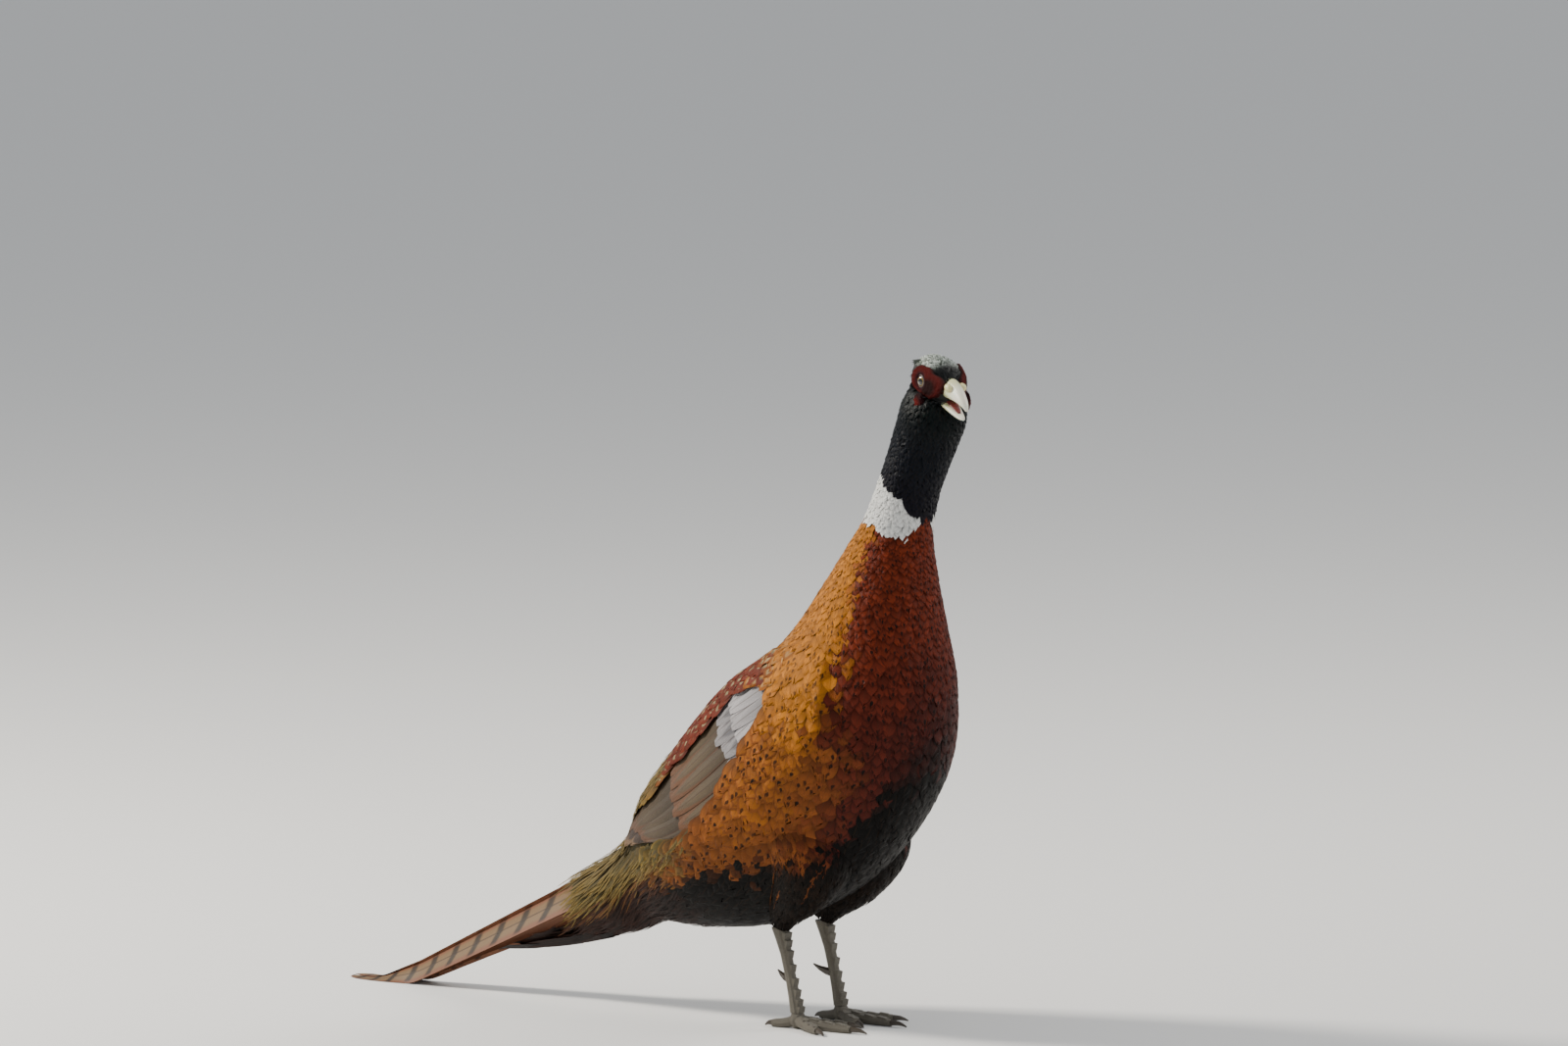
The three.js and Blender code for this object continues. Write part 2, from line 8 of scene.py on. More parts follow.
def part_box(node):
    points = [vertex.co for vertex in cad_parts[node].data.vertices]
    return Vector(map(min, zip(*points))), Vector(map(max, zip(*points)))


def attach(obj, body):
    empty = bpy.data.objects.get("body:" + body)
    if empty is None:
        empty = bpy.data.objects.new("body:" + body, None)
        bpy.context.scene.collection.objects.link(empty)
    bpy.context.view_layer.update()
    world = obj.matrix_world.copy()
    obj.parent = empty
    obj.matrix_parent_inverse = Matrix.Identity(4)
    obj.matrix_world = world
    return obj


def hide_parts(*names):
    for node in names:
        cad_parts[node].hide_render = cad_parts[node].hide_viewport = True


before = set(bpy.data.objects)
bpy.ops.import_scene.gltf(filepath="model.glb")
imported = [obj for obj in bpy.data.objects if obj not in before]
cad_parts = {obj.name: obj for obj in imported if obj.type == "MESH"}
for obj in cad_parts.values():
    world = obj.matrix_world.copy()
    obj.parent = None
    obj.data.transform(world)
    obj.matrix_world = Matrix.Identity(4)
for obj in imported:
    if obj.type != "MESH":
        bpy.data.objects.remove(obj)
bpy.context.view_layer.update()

# A cock common pheasant. The bird's own frame is in millimetres: X the way the breast faces, Y to its left,
# Z up, with the floor at Z = 0 and the feet near X = 0.
MM = 0.001
SIDES = (("left", 1), ("right", -1))
COAT_DEPTH = 3.0

# Head: where it sits, how it is turned, and the eye in the head's own frame.
HEAD_CENTRE = np.array([118.0, 0.0, 505.0])
HEAD_TURN = math.radians(-27)
HEAD_DIP = math.radians(16)
EYE_PLACE = np.array([4.0, 13.8, -1.5])
EYE_RADIUS = 5.6
# Skull: x, middle height, half height and half width, nape to bill.
SKULL = np.array([
    (-27, -3, 3, 3), (-24, -3.2, 9.5, 9), (-17, -3, 14, 14), (-8, -2.2, 15.6, 17), (2, -2.2, 15.8, 18),
    (11, -3.2, 14.8, 16.5), (18, -4.8, 13, 13), (23, -5.8, 11.4, 9.6), (26.5, -6.2, 9.6, 7.2)], float)
# Bill halves and tongue: x, top, bottom and half width.
UPPER_BILL = np.array([
    (18, 6, -8.6, 8.4), (24, 6.6, -8.6, 7.6), (30, 6, -7.8, 6.5), (37, 3.7, -7, 5.2), (44, 0, -6.8, 3.9),
    (49, -3.6, -7.4, 2.5), (52, -6.8, -8.8, 1.2)], float)
LOWER_BILL = np.array([
    (18, -10.2, -16.6, 8), (24, -11.2, -17.6, 7), (31, -12.6, -18.3, 5.7), (38, -13.9, -18.6, 4.4),
    (44, -15, -18.4, 3), (48, -15.9, -17.6, 1.4)], float)
TONGUE = np.array([
    (22, -9, -11.6, 4.4), (30, -10.6, -13, 3.8), (36, -12, -14.2, 2.8), (41, -13.4, -15.2, 1.2)], float)
UPPER_RIDGE, LOWER_KEEL = 0.25, -0.2
# Outline of the bare face in the head's frame, x and z.
WATTLE_EDGE = np.array([
    (25, 3), (14, 6.5), (3, 9), (-5, 7.5), (-10, 2), (-12.5, -4), (-12, -12), (-8, -18), (2, -18),
    (8, -15), (18, -10.5), (25, -5)], float)
LOBE_CENTRE = np.array([9.0, 18.9, -18.2])
LOBE_RADII = (6.8, 4.6, 8.8)
NOSTRIL_CENTRE = np.array([28.5, 5.9, 1.9])
NOSTRIL_RADII = (4.3, 2.8, 3.0)
LID_OPENING = (4.8, 4.5)
LID_OUT = 17.1
LID_THICKNESS = 0.6
FACE_START = 4.7
NAPE_SPACING = 2.6

# Trunk and neck: x, z, lean in degrees, half depth and half width. Row 0 is station -3, over the tail's root.
FIRST_STATION = -3
TRUNK = np.array([
    (-262, 60, 14, 17, 15), (-232, 71, 16, 24, 21), (-206, 81, 18, 28, 26), (-182, 90, 20, 32, 32),
    (-158, 104, 23, 37, 36), (-123, 120, 28, 58, 51), (-78, 140, 34, 77, 64), (-28, 172, 42, 90, 73),
    (10, 208, 51, 91, 76), (39, 245, 60, 83, 72), (55, 285, 68, 68, 61), (62, 322, 73, 52, 49),
    (69, 354, 74, 39, 38), (78, 387, 72, 27, 27.5), (87, 415, 69, 23.5, 24), (97, 440, 66, 23.8, 23.5),
    (106, 462, 66, 25, 24.5), (112, 477, 67, 25.5, 25), (116, 490, 68, 22, 21),
    (118, 500, 68, 13, 13)], float)
TRUNK_TAPER = 0.1
SKIN_START, SKIN_RUN = FIRST_STATION + 1.2, 17.3
# Thigh, left side: x, y, z, radius.
THIGH = np.array([
    (16, 33, 160, 38), (20, 32, 134, 35), (8, 30, 108, 24), (-7, 28, 90, 14), (-14, 27, 79, 8.5)], float)

# Folded wing: station and angle of the upper edge, of the lower edge, and rise off the trunk.
WING = np.array([
    (7.1, 66, 6.9, 88, 2), (6.5, 46, 6.1, 100, 4.5), (5.4, 36, 5, 97, 5), (4.2, 31, 3.7, 92, 4.5),
    (3, 32, 2.7, 86, 3.5), (2, 38, 1.9, 74, 2.5), (1.1, 50, 1.1, 60, 1.5)], float)
# Where the grey and brown of the wing shows between the back's and the flank's feathers, by station.
WING_WINDOW = np.array([
    (1.1, 44, 62), (2, 42, 76), (3, 43, 86), (3.5, 45, 86), (4, 44, 83), (4.5, 43, 79), (5.2, 43, 76),
    (5.8, 44, 73), (6.1, 49, 70), (6.35, 56, 62)])

# Tail: the ridge line, where the feather pairs end, and how they are laid.
TAIL_RIDGE = np.array([
    (-150, 119), (-200, 108), (-260, 79), (-330, 45), (-390, 16), (-425, 3.2), (-438, 0.8),
    (-460, 0.8)], float)
TAIL_ROOT_X = -172
TAIL_ENDS = (-458, -428, -398, -370, -342, -316, -294, -276, -260)
TAIL_HALF = 16
TAIL_STEP = 2.0
TAIL_FAN = 1.1
ROOF_SLOPE = math.radians(50)
TAIL_FLAT_X, TAIL_TIP_X = -380, -452
TAIL_LENGTH_SCALE = 400.0
BAR_PITCH = 24.0
TAIL_BARB_PITCH = 1.1

# White collar: its lower and upper edge as stations, by angle from the nape to the throat.
COLLAR_ANGLES = (0, 66, 102, 124, 141, 152, 170, 180)
COLLAR_BOTTOM = (10.15, 10.24, 10.19, 10.2, 10.28, 10.39, 10.67, 10.9)
COLLAR_TOP = (11.6, 11.44, 11.22, 11.17, 10.95, 10.85, 10.74, 10.7)

# The photo's framing: its scale, its size and the pixel over the bird's origin, seen from far off.
PHOTO_PIXEL = 0.75 * MM
PHOTO_WIDTH, PHOTO_MIDDLE = 1600, (800, 533.5)
FEET_PIXEL = (833, 1045)
PHOTO_AZIMUTH, PHOTO_ELEVATION = math.radians(38), math.radians(6)
CAMERA_FAR = 12.0
FILM_WIDTH = 36

# A short feather's patch on the bake map, and one full turn of a sine.
BAKE_PATCH = 0.003
WAVE = 6.2832


def spline(table, t):
    """A smooth run through the rows of a table at shares t of its length, like a draughtsman's curve."""
    rows = np.asarray(table, float)
    ends = np.vstack([2 * rows[0] - rows[1], rows, 2 * rows[-1] - rows[-2]])
    place = np.clip(t, 0, 1) * (len(rows) - 1)
    i = np.minimum(place.astype(int), len(rows) - 2)
    w = (place - i)[..., None]
    before, here, there, after = ends[i], ends[i + 1], ends[i + 2], ends[i + 3]
    rise, fall = (there - before) / 2, (after - here) / 2
    return ((2 * here - 2 * there + rise + fall) * w ** 3
            + (-3 * here + 3 * there - 2 * rise - fall) * w ** 2 + rise * w + here)


def between(values, low, high):
    """0 below low, 1 above high, smooth between."""
    x = np.clip((values - low) / (high - low), 0, 1)
    return x * x * (3 - 2 * x)


def blend(a, b, share):
    return a * (1 - share[..., None]) + b * share[..., None]


def degrees_of(angle):
    """How far round from the back an angle is, 0 to 180 on either side."""
    return np.abs(np.degrees((angle + math.pi) % math.tau - math.pi))


def share_of_trunk(station):
    return (station - FIRST_STATION) / (len(TRUNK) - 1)


def trunk(station, angle, grow=0.0):
    """The trunk's outer face at a station and an angle (0 along the back, + to the left), in millimetres."""
    row = spline(TRUNK, share_of_trunk(station))
    lean = np.radians(row[..., 2])
    out = (row[..., 3] + grow) * np.cos(angle)
    side = (row[..., 4] + grow) * np.sin(angle) * (1 - TRUNK_TAPER * np.cos(angle))
    return np.stack([row[..., 0] - np.sin(lean) * out, side, row[..., 1] + np.cos(lean) * out], -1)


def turn_z(angle):
    c, s = math.cos(angle), math.sin(angle)
    return np.array([(c, -s, 0), (s, c, 0), (0, 0, 1)])


def turn_y(angle):
    c, s = math.cos(angle), math.sin(angle)
    return np.array([(c, 0, s), (0, 1, 0), (-s, 0, c)])


HEAD_AXES = turn_z(HEAD_TURN) @ turn_y(HEAD_DIP)


def from_head(points):
    """Points of the head's own frame put in the bird's frame."""
    return np.asarray(points, float) @ HEAD_AXES.T + HEAD_CENTRE


def in_head(points):
    """Points of the bird's frame put in the head's own frame."""
    return (points - HEAD_CENTRE) @ HEAD_AXES


def skull_local(t, angle, grow=0.0):
    """The skull's outer face in the head's frame, t from nape to bill and the angle 0 at the crown."""
    row = spline(SKULL, t)
    return np.stack([row[..., 0] + grow * (2 * t - 1), (row[..., 3] + grow) * np.sin(angle),
                     row[..., 1] + (row[..., 2] + grow) * np.cos(angle)], -1)


def skull(t, angle, grow=0.0):
    return from_head(skull_local(np.asarray(t, float), angle, grow))


def thigh_of(side):
    """The outer face of one thigh as a function of the share down it and the angle round it."""
    rows = THIGH * np.array([1, side, 1, 1])
    axis = np.gradient(rows[:, :3], axis=0)
    axis /= np.linalg.norm(axis, axis=1)[:, None]

    def thigh(t, angle, grow=0.0):
        row = spline(rows, t)
        way = spline(axis, t)
        way = way / np.linalg.norm(way, axis=-1)[..., None]
        left = np.cross(np.broadcast_to((0.0, 1.0, 0.0), way.shape), way)
        left /= np.linalg.norm(left, axis=-1)[..., None]
        other = np.cross(way, left)
        r = (row[..., 3] + grow)[..., None]
        return row[..., :3] + r * (left * np.cos(angle)[..., None] + other * np.sin(angle)[..., None])
    return thigh


# The bird's frame is set against the solids by the right eye, which both know.
eye_low, eye_high = (np.array(corner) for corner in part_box("eye_right"))
SHIFT = (eye_low + eye_high) / 2 / MM - from_head(EYE_PLACE * (1, -1, 1))


def to_world(points):
    """Millimetres of the bird's frame to metres of the shared frame."""
    return (points + SHIFT) * MM


def to_bird(places):
    """Metres of the shared frame to millimetres of the bird's frame."""
    return places / MM - SHIFT


def linear(code):
    """An sRGB hex colour as the linear red, green and blue that the shaders use."""
    parts = [int(code[i:i + 2], 16) / 255 for i in (1, 3, 5)]
    return np.array([c / 12.92 if c <= 0.04045 else ((c + 0.055) / 1.055) ** 2.4 for c in parts])


# Plumage colours
GOLD = linear("#c87c22")
AMBER = linear("#965522")
RUFOUS = linear("#6c3718")
COPPER = linear("#7c2e16")
SCAPULAR_EDGE = linear("#6e2a14")
MAROON = linear("#521f18")
PURPLE_BROWN = linear("#2a1214")
BLACK = linear("#080606")
BELLY = linear("#060403")
NECK_BLUE = linear("#030810")
NECK_GREEN = linear("#030b09")
NECK_VIOLET = linear("#080510")
WHITE = linear("#f0efea")
CREAM = linear("#cdb98a")
STRAW = linear("#94793a")
OLIVE = linear("#585230")
DULL_GREEN = linear("#474a30")
VENT = linear("#2a130a")
GREY = linear("#a7a2a3")
SLATE = linear("#7f7c80")
BUFF = linear("#8c6a45")
UMBER = linear("#3a2718")
TERTIAL = linear("#5a4a34")
TERTIAL_EDGE = linear("#5e3c22")
BRONZE = linear("#3c4638")
# Pale silver of the crown, partly its own colour and partly painted sheen
CROWN_SILVER_AND_SHEEN = linear("#bcc2ba")
FOREHEAD = linear("#050907")
TAIL_BUFF = linear("#7a5f40")
TAIL_FRINGE = linear("#7c4f38")
# Shadow between barbs, tufts and feathers; the last two are already linear
SHADOW = linear("#000000")
DOWN_SHADOW = np.array((0.02, 0.015, 0.01))
BARB_SHADOW = np.array((0.02, 0.01, 0.0))
# Bare parts
FACE_RED = linear("#7a0f08")
# Painted shade for the hollow between the eye and the bill
LORE_SHADE = linear("#080203")
FACE_EDGE = linear("#120508")
LID_VIOLET = linear("#2e1a26")
CHEEK_VIOLET = linear("#33202c")
LOBE_RED = linear("#98190c")
# Painted shade round the throat lobe's rim
LOBE_RIM_SHADE = linear("#1a0c16")
PAPILLA_GAP = linear("#2c0706")
PAPILLA_TOP = linear("#b8301c")
IVORY = linear("#e9e5d2")
HORN_ROOT = linear("#c9c48a")
HORN_LINE = linear("#a39a72")
NOSTRIL_HORN = linear("#dcd09a")
PUPIL = linear("#040302")
IRIS = linear("#8f7430")
IRIS_RIM = linear("#4a3014")
EYE_EDGE = linear("#160d0a")
SCALE_DARK, SCALE_PALE, SCALE_GAP = linear("#5c564b"), linear("#857e6f"), linear("#262119")


def mesh_object(name, points, faces):
    """A smooth mesh object from points in the bird's frame and faces of equal corner count."""
    world = to_world(points.reshape(-1, 3))
    faces = np.asarray(faces, np.int32)
    corners = faces.shape[1]
    mesh = bpy.data.meshes.new(name)
    mesh.vertices.add(len(world))
    mesh.vertices.foreach_set("co", world.astype(np.float32).ravel())
    mesh.loops.add(faces.size)
    mesh.loops.foreach_set("vertex_index", faces.ravel())
    mesh.polygons.add(len(faces))
    mesh.polygons.foreach_set("loop_start", np.arange(0, faces.size, corners, dtype=np.int32))
    mesh.polygons.foreach_set("use_smooth", np.full(len(faces), True))
    mesh.update(calc_edges=True)
    mesh.validate()
    piece = bpy.data.objects.new(name, mesh)
    bpy.context.scene.collection.objects.link(piece)
    return piece


def mesh_points(mesh, field="co"):
    """The places of a mesh's vertices, or its normals, as an array."""
    values = np.empty(len(mesh.vertices) * 3, np.float32)
    source = mesh.vertices if field == "co" else mesh.vertex_normals
    source.foreach_get(field, values)
    return values.reshape(-1, 3)


def paint(piece, name, colours):
    """A colour for each vertex, kept as a named attribute."""
    layer = piece.data.color_attributes.new(name, "FLOAT_COLOR", "POINT")
    values = np.ones((len(piece.data.vertices), 4), np.float32)
    values[:, :3] = colours
    layer.data.foreach_set("color", values.ravel())


def lay_uv(piece, name, places):
    layer = piece.data.uv_layers.new(name=name)
    index = np.empty(len(piece.data.loops), np.int32)
    piece.data.loops.foreach_get("vertex_index", index)
    layer.data.foreach_set("uv", places[index].astype(np.float32).ravel())


def finish_piece(piece, surface, slot, *nodes):
    """Gives a piece its surface, hangs it from the root body and hides the solids whose place it takes;
    `slot` is not used.
    """
    piece.data.materials.append(surface)
    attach(piece, "root")
    if nodes:
        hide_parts(*nodes)


def grid_faces(count, rows, columns, wrap=False):
    """Quads over `count` grids of rows by columns points."""
    r = np.arange(rows - 1)[:, None]
    c = np.arange(columns if wrap else columns - 1)[None, :]
    here = r * columns + c
    right = r * columns + (c + 1) % columns
    quad = np.stack([here, right, right + columns, here + columns], -1).reshape(-1, 4)
    return (quad[None] + np.arange(count)[:, None, None] * rows * columns).reshape(-1, 4)


def ring_of(count):
    """Evenly spaced angles once round."""
    return np.linspace(0, math.tau, count, endpoint=False)


def tube_piece(name, section, steps, around):
    """A closed smooth form over section(t, angle), its two ends drawn in to a point."""
    t, a = np.meshgrid(np.linspace(0, 1, steps + 1), ring_of(around), indexing="ij")
    points = section(t, a)
    first, last = points[:1].mean(1, keepdims=True), points[-1:].mean(1, keepdims=True)
    points = np.concatenate([np.broadcast_to(first, points[:1].shape), points,
                             np.broadcast_to(last, points[-1:].shape)])
    return mesh_object(name, points, grid_faces(1, steps + 3, around, wrap=True))


def round_outline(t):
    """Half width along a broad feather, root to tip."""
    body = np.clip(t / 0.3, 0, 1) ** 0.6 * 0.75 + 0.25 * np.clip(t / 0.6, 0, 1)
    return body * np.sqrt(np.clip(1 - (np.clip(t - 0.62, 0, 1) / 0.38) ** 2 * 0.985, 0, 1))


def lance_outline(t):
    """Half width along a pointed feather."""
    return (0.45 + 0.55 * np.clip(t / 0.35, 0, 1)) * (1 - np.clip((t - 0.35) / 0.65, 0, 1) ** 1.6 * 0.94)


def strand_outline(t):
    """Half width along a loose strand."""
    return 0.8 * (1 - t ** 2 * 0.85)


class Coat:
    """Feathers gathered for one piece, each a thin curved vane that follows the surface it grows from.

    A feather's marking is its tint, its fringe and its lace, which holds the fringe's width, the strength of
    the dark fleck at the tip and that of the pale heart."""

    def __init__(self, name):
        self.name = name
        self.grids = {}

    def add(self, points, marking, root, rows, columns, t, w):
        """Keeps a group of feathers, grids of rows by columns points at the shares t along and w across."""
        self.grids.setdefault((rows, columns), []).append((points, marking, root, t, w))

    def build(self, surface, slot, strip=(BAKE_PATCH, BAKE_PATCH)):
        """Joins the feathers in one mesh; `strip` is a feather's width and length on the bake map."""
        points, faces, vane, bake = [], [], [], []
        layers = {"Tint": [], "Fringe": [], "Lace": []}
        start = 0
        for (rows, columns), groups in self.grids.items():
            for grid, marking, root, t, w in groups:
                n, each = len(grid), rows * columns
                points.append(grid.reshape(-1, 3))
                faces.append(grid_faces(n, rows, columns) + start)
                start += n * each
                for kept, values in zip(layers.values(), marking):
                    kept.append(np.repeat(values, each, axis=0))
                place = np.stack(np.broadcast_arrays(w[None, :] * 0.5 + 0.5, t[:, None]), -1).reshape(-1, 2)
                vane.append(np.tile(place, (n, 1)))
                bake.append((root[:, None, :] + (place[None] - 0.5) * np.array(strip)).reshape(-1, 2))
        piece = mesh_object(self.name, np.concatenate(points), np.concatenate(faces))
        for layer, kept in layers.items():
            paint(piece, layer, np.concatenate(kept))
        lay_uv(piece, "Vane", np.concatenate(vane))
        lay_uv(piece, "OFBake", np.clip(np.concatenate(bake), 0.001, 0.999))
        finish_piece(piece, surface, slot)
        return piece


def lace_of(n, width, fleck=0.0, heart=0.0):
    """The lace of n feathers, from numbers or from arrays."""
    return np.stack([np.broadcast_to(v, (n,)) for v in (width, fleck, heart)], -1).astype(float)


def grow_feathers(coat, surface, station, angle, length, width, marking, *, turn=0.0, depth=COAT_DEPTH,
                  lift=0.6, crown=0.5, outline=round_outline, rows=6, columns=5, rng, over=None, bake=None,
                  roll=0.0, ragged=0.05):
    """Lays feathers with roots at (station, angle), pointing back down the stations and turned by `turn`.

    The root is sunk by `depth` and the tip stands off by `lift`. `crown` bends the vane across, `roll` tilts
    it, `ragged` splits its tip, and `over` holds it off the surface."""
    n = len(station)
    t, w = np.linspace(0, 1, rows), np.linspace(-1, 1, columns)
    near = 0.05 if surface is trunk else 0.02
    ahead, behind = surface(station + near, angle), surface(station - near, angle)
    per_station = np.linalg.norm(ahead - behind, axis=-1) / (2 * near)
    left, right = surface(station, angle + 0.02), surface(station, angle - 0.02)
    per_angle = np.linalg.norm(left - right, axis=-1) / 0.04
    length, width, turn, lift, depth, roll = (
        np.broadcast_to(np.asarray(v, float), (n,))[:, None, None]
        for v in (length, width, turn, lift, depth, roll))
    split = rng.normal(0, ragged, (n, 1, columns))
    run = t[None, :, None]
    along = length * (run + split * run ** 4) * np.ones_like(w)
    across = width / 2 * outline(t)[None, :, None] * w
    down = along * np.cos(turn) - across * np.sin(turn)
    aside = along * np.sin(turn) + across * np.cos(turn)
    s = station[:, None, None] - down / np.maximum(per_station, 4)[:, None, None]
    a = angle[:, None, None] + aside / np.maximum(per_angle, 4)[:, None, None]
    wobble = rng.normal(0, 0.1, (n, 1, 1))
    height = (-depth * (1 - run) ** 2.4 + lift * run ** 1.6 - crown * (w ** 2) * (0.3 + 0.7 * run) + wobble
              + roll * w * run)
    if over is not None:
        height = height + over(s, a)
    coat.add(surface(s, a, height), marking, bake, rows, columns, t, w)


def rows_over(surface, first, last, pitch, spacing, rng):
    """Staggered rows of roots between two stations: arrays of station and angle."""
    stations, angles = [], []
    s, odd = first, 0
    ring = np.linspace(-math.pi, math.pi, 73)
    while s < last:
        loop = surface(np.full(len(ring), s), ring)
        girth = np.linalg.norm(np.diff(loop, axis=0), axis=1)
        reach = np.concatenate([[0], np.cumsum(girth)])
        count = max(4, int(reach[-1] / spacing(s)))
        place = (np.arange(count) + 0.5 * odd + rng.uniform(-0.22, 0.22, count)) % count / count * reach[-1]
        stations.append(s + rng.normal(0, 0.12, count) * pitch(s) / per_row(surface, s))
        angles.append(np.interp(place, reach, ring))
        s += pitch(s) / per_row(surface, s)
        odd = 1 - odd
    return np.concatenate(stations), np.concatenate(angles)


def per_row(surface, s):
    """Millimetres to a unit of station, averaged round the body."""
    ring = np.linspace(-math.pi, math.pi, 12, endpoint=False)
    ahead = surface(np.full(12, s + 0.01), ring)
    return float(np.linalg.norm(ahead - surface(np.full(12, s), ring), axis=1).mean() / 0.01)


def unwrap(angle, run, left=0.01, wide=0.98):
    """A place on the unwrap of a round form, by the angle round it and the share along it."""
    return np.stack([(angle / math.tau) % 1.0 * wide + left, run * 0.98 + 0.01], -1)


def trunk_bake(station, angle):
    return unwrap(angle, share_of_trunk(station))


def collar_edges(degrees):
    """The stations of the white collar's lower and upper edge."""
    return np.interp(degrees, COLLAR_ANGLES, COLLAR_BOTTOM), np.interp(degrees, COLLAR_ANGLES, COLLAR_TOP)


def window_edges(station):
    """The angles between which the wing shows."""
    return tuple(np.interp(station, WING_WINDOW[:, 0], WING_WINDOW[:, k]) for k in (1, 2))


def wing_cover(station, angle):
    """How far the folded wing holds the feathers over it off the trunk, in millimetres."""
    rows = WING[np.argsort(WING[:, 0])]
    top = np.interp(station, rows[:, 0], rows[:, 1])
    low = np.interp(station, rows[:, 2], rows[:, 3])
    rise = np.interp(station, rows[:, 0], rows[:, 4], left=0) * (1 - between(station, 6.6, 8.4))
    v = (degrees_of(angle) - top) / (low - top)
    inside = between(v, -0.34, -0.06) * (1 - between(v, 1.04, 1.34))
    dome = 0.75 + 0.25 * np.sqrt(np.sin(math.pi * np.clip(v, 0, 1)))
    quills = 4.6 * between(station, 1.2, 2.2) * (1 - between(station, 6.0, 8.0))
    return inside * (rise * dome + quills)


def body_marking(station, degrees, rng):
    """Tint, fringe and lace of the trunk's feathers by where they root."""
    n = len(station)
    s = station + rng.normal(0, 0.16, n)
    d = degrees + rng.normal(0, 4.0, n)

    def wash(marking, share, colours):
        return tuple(blend(old, new, share) for old, new in zip(marking, colours))

    # breast: coppery, darker and more purple low down, some feathers with a small dark fleck
    low = 1 - between(s, 6.2, 8.4)
    tint = blend(np.tile(COPPER, (n, 1)), MAROON, low * 0.75)
    tint = blend(tint, PURPLE_BROWN, between(d, 120, 178) * between(9.5 - s, 0, 3) * 0.55)
    spots = np.where(rng.random(n) < 0.5, rng.uniform(0.75, 1.0, n), 0.0)
    marking = (tint, tint * 0.5, lace_of(n, 0.08, spots))
    # mantle and sides of the neck: golden
    edge = np.interp(s, (4, 6, 7.8, 8.66, 9.5, 10.3), (112, 104, 97, 92, 84, 78))
    gold = 1 - between(d, edge - 10, edge + 6)
    tint, fringe, lace = wash(marking, gold, (GOLD, GOLD * 0.8, lace_of(n, 0.14, spots * 0.8)))
    # flank: amber, with round black spots, browner towards the thigh
    flank = between(d, 58, 72) * (1 - between(d, 112, 140)) * (1 - between(s, 5.6, 6.6))
    tint = blend(tint, AMBER, flank * 0.75)
    tint = blend(tint, RUFOUS, flank * (1 - between(s, 3.2, 4.8)) * 0.7)
    fringe = blend(fringe, AMBER * 0.75, flank)
    marking = (tint, fringe, blend(lace, lace_of(n, 0.14, spots), flank))
    # scapulars: maroon with a cream heart
    scapular = (1 - between(d, 50, 62)) * (1 - between(s, 6.4, 7.4)) * between(s, 2.8, 3.4)
    hearts = lace_of(n, rng.uniform(0.45, 0.62, n), 0.0, rng.uniform(0.3, 0.9, n))
    marking = wash(marking, scapular, (CREAM, SCAPULAR_EDGE, hearts))
    # lower back and rump: olive and straw
    rump = (1 - between(s, 2.6, 3.6)) * (1 - between(d, 84, 104))
    mixed = blend(np.tile(OLIVE, (n, 1)), STRAW, rng.uniform(0, 1, n))
    mixed = blend(mixed, DULL_GREEN, rng.uniform(0, 0.5, n))
    marking = wash(marking, rump, (mixed, STRAW * 0.8, lace_of(n, 0.2)))
    # belly: black
    limit = np.interp(d, (95, 124, 142, 154, 180), (2.4, 4.28, 5.0, 6.2, 6.6))
    dark = between(limit - s, -0.35, 0.35) * between(d, 95, 112)
    marking = wash(marking, dark, (BELLY, BELLY * 1.4, lace_of(n, 0.15)))
    # vent: dark rufous
    vent = (1 - between(s, 1.6, 2.8)) * between(d, 88, 110)
    tint, fringe, lace = wash(marking, vent, (VENT, VENT * 1.6, lace_of(n, 0.2)))
    shade = rng.uniform(0.72, 1.2, (n, 1))
    return tint * shade, fringe * shade, lace


def trunk_finder():
    """A lookup from points in the bird's frame to the nearest station and angle of the trunk."""
    station, angle = (grid.ravel() for grid in np.meshgrid(
        np.linspace(-1, 15.4, 188), np.linspace(-math.pi, math.pi, 120), indexing="ij"))
    find = nearest_finder(trunk(station, angle))

    def places_on_trunk(points):
        nearest = find(points)
        return station[nearest], angle[nearest]
    return places_on_trunk


def nearest_finder(places):
    """A lookup from points to the index of the nearest of some places."""
    tree = kdtree.KDTree(len(places))
    for i, place in enumerate(places):
        tree.insert(place, i)
    tree.balance()
    return lambda points: [tree.find(point)[1] for point in points]


def collar_state(station, angle, rng):
    """Which roots lie below the collar and which lie in it, with a ragged edge."""
    bottom, top = collar_edges(degrees_of(angle))
    place = station + rng.normal(0, 0.05, len(station))
    return place < bottom, (place >= bottom) & (place < top)


# Materials. NODE_USE says, for the nodes that need it, which inputs are filled in order, which output is read
# and what is set.
NODE_USE = {"Mix": ((0, 6, 7), 2, {"data_type": "RGBA"}),
            "MapRange": ((0, 1, 2), 0, {"interpolation_type": "SMOOTHSTEP"})}


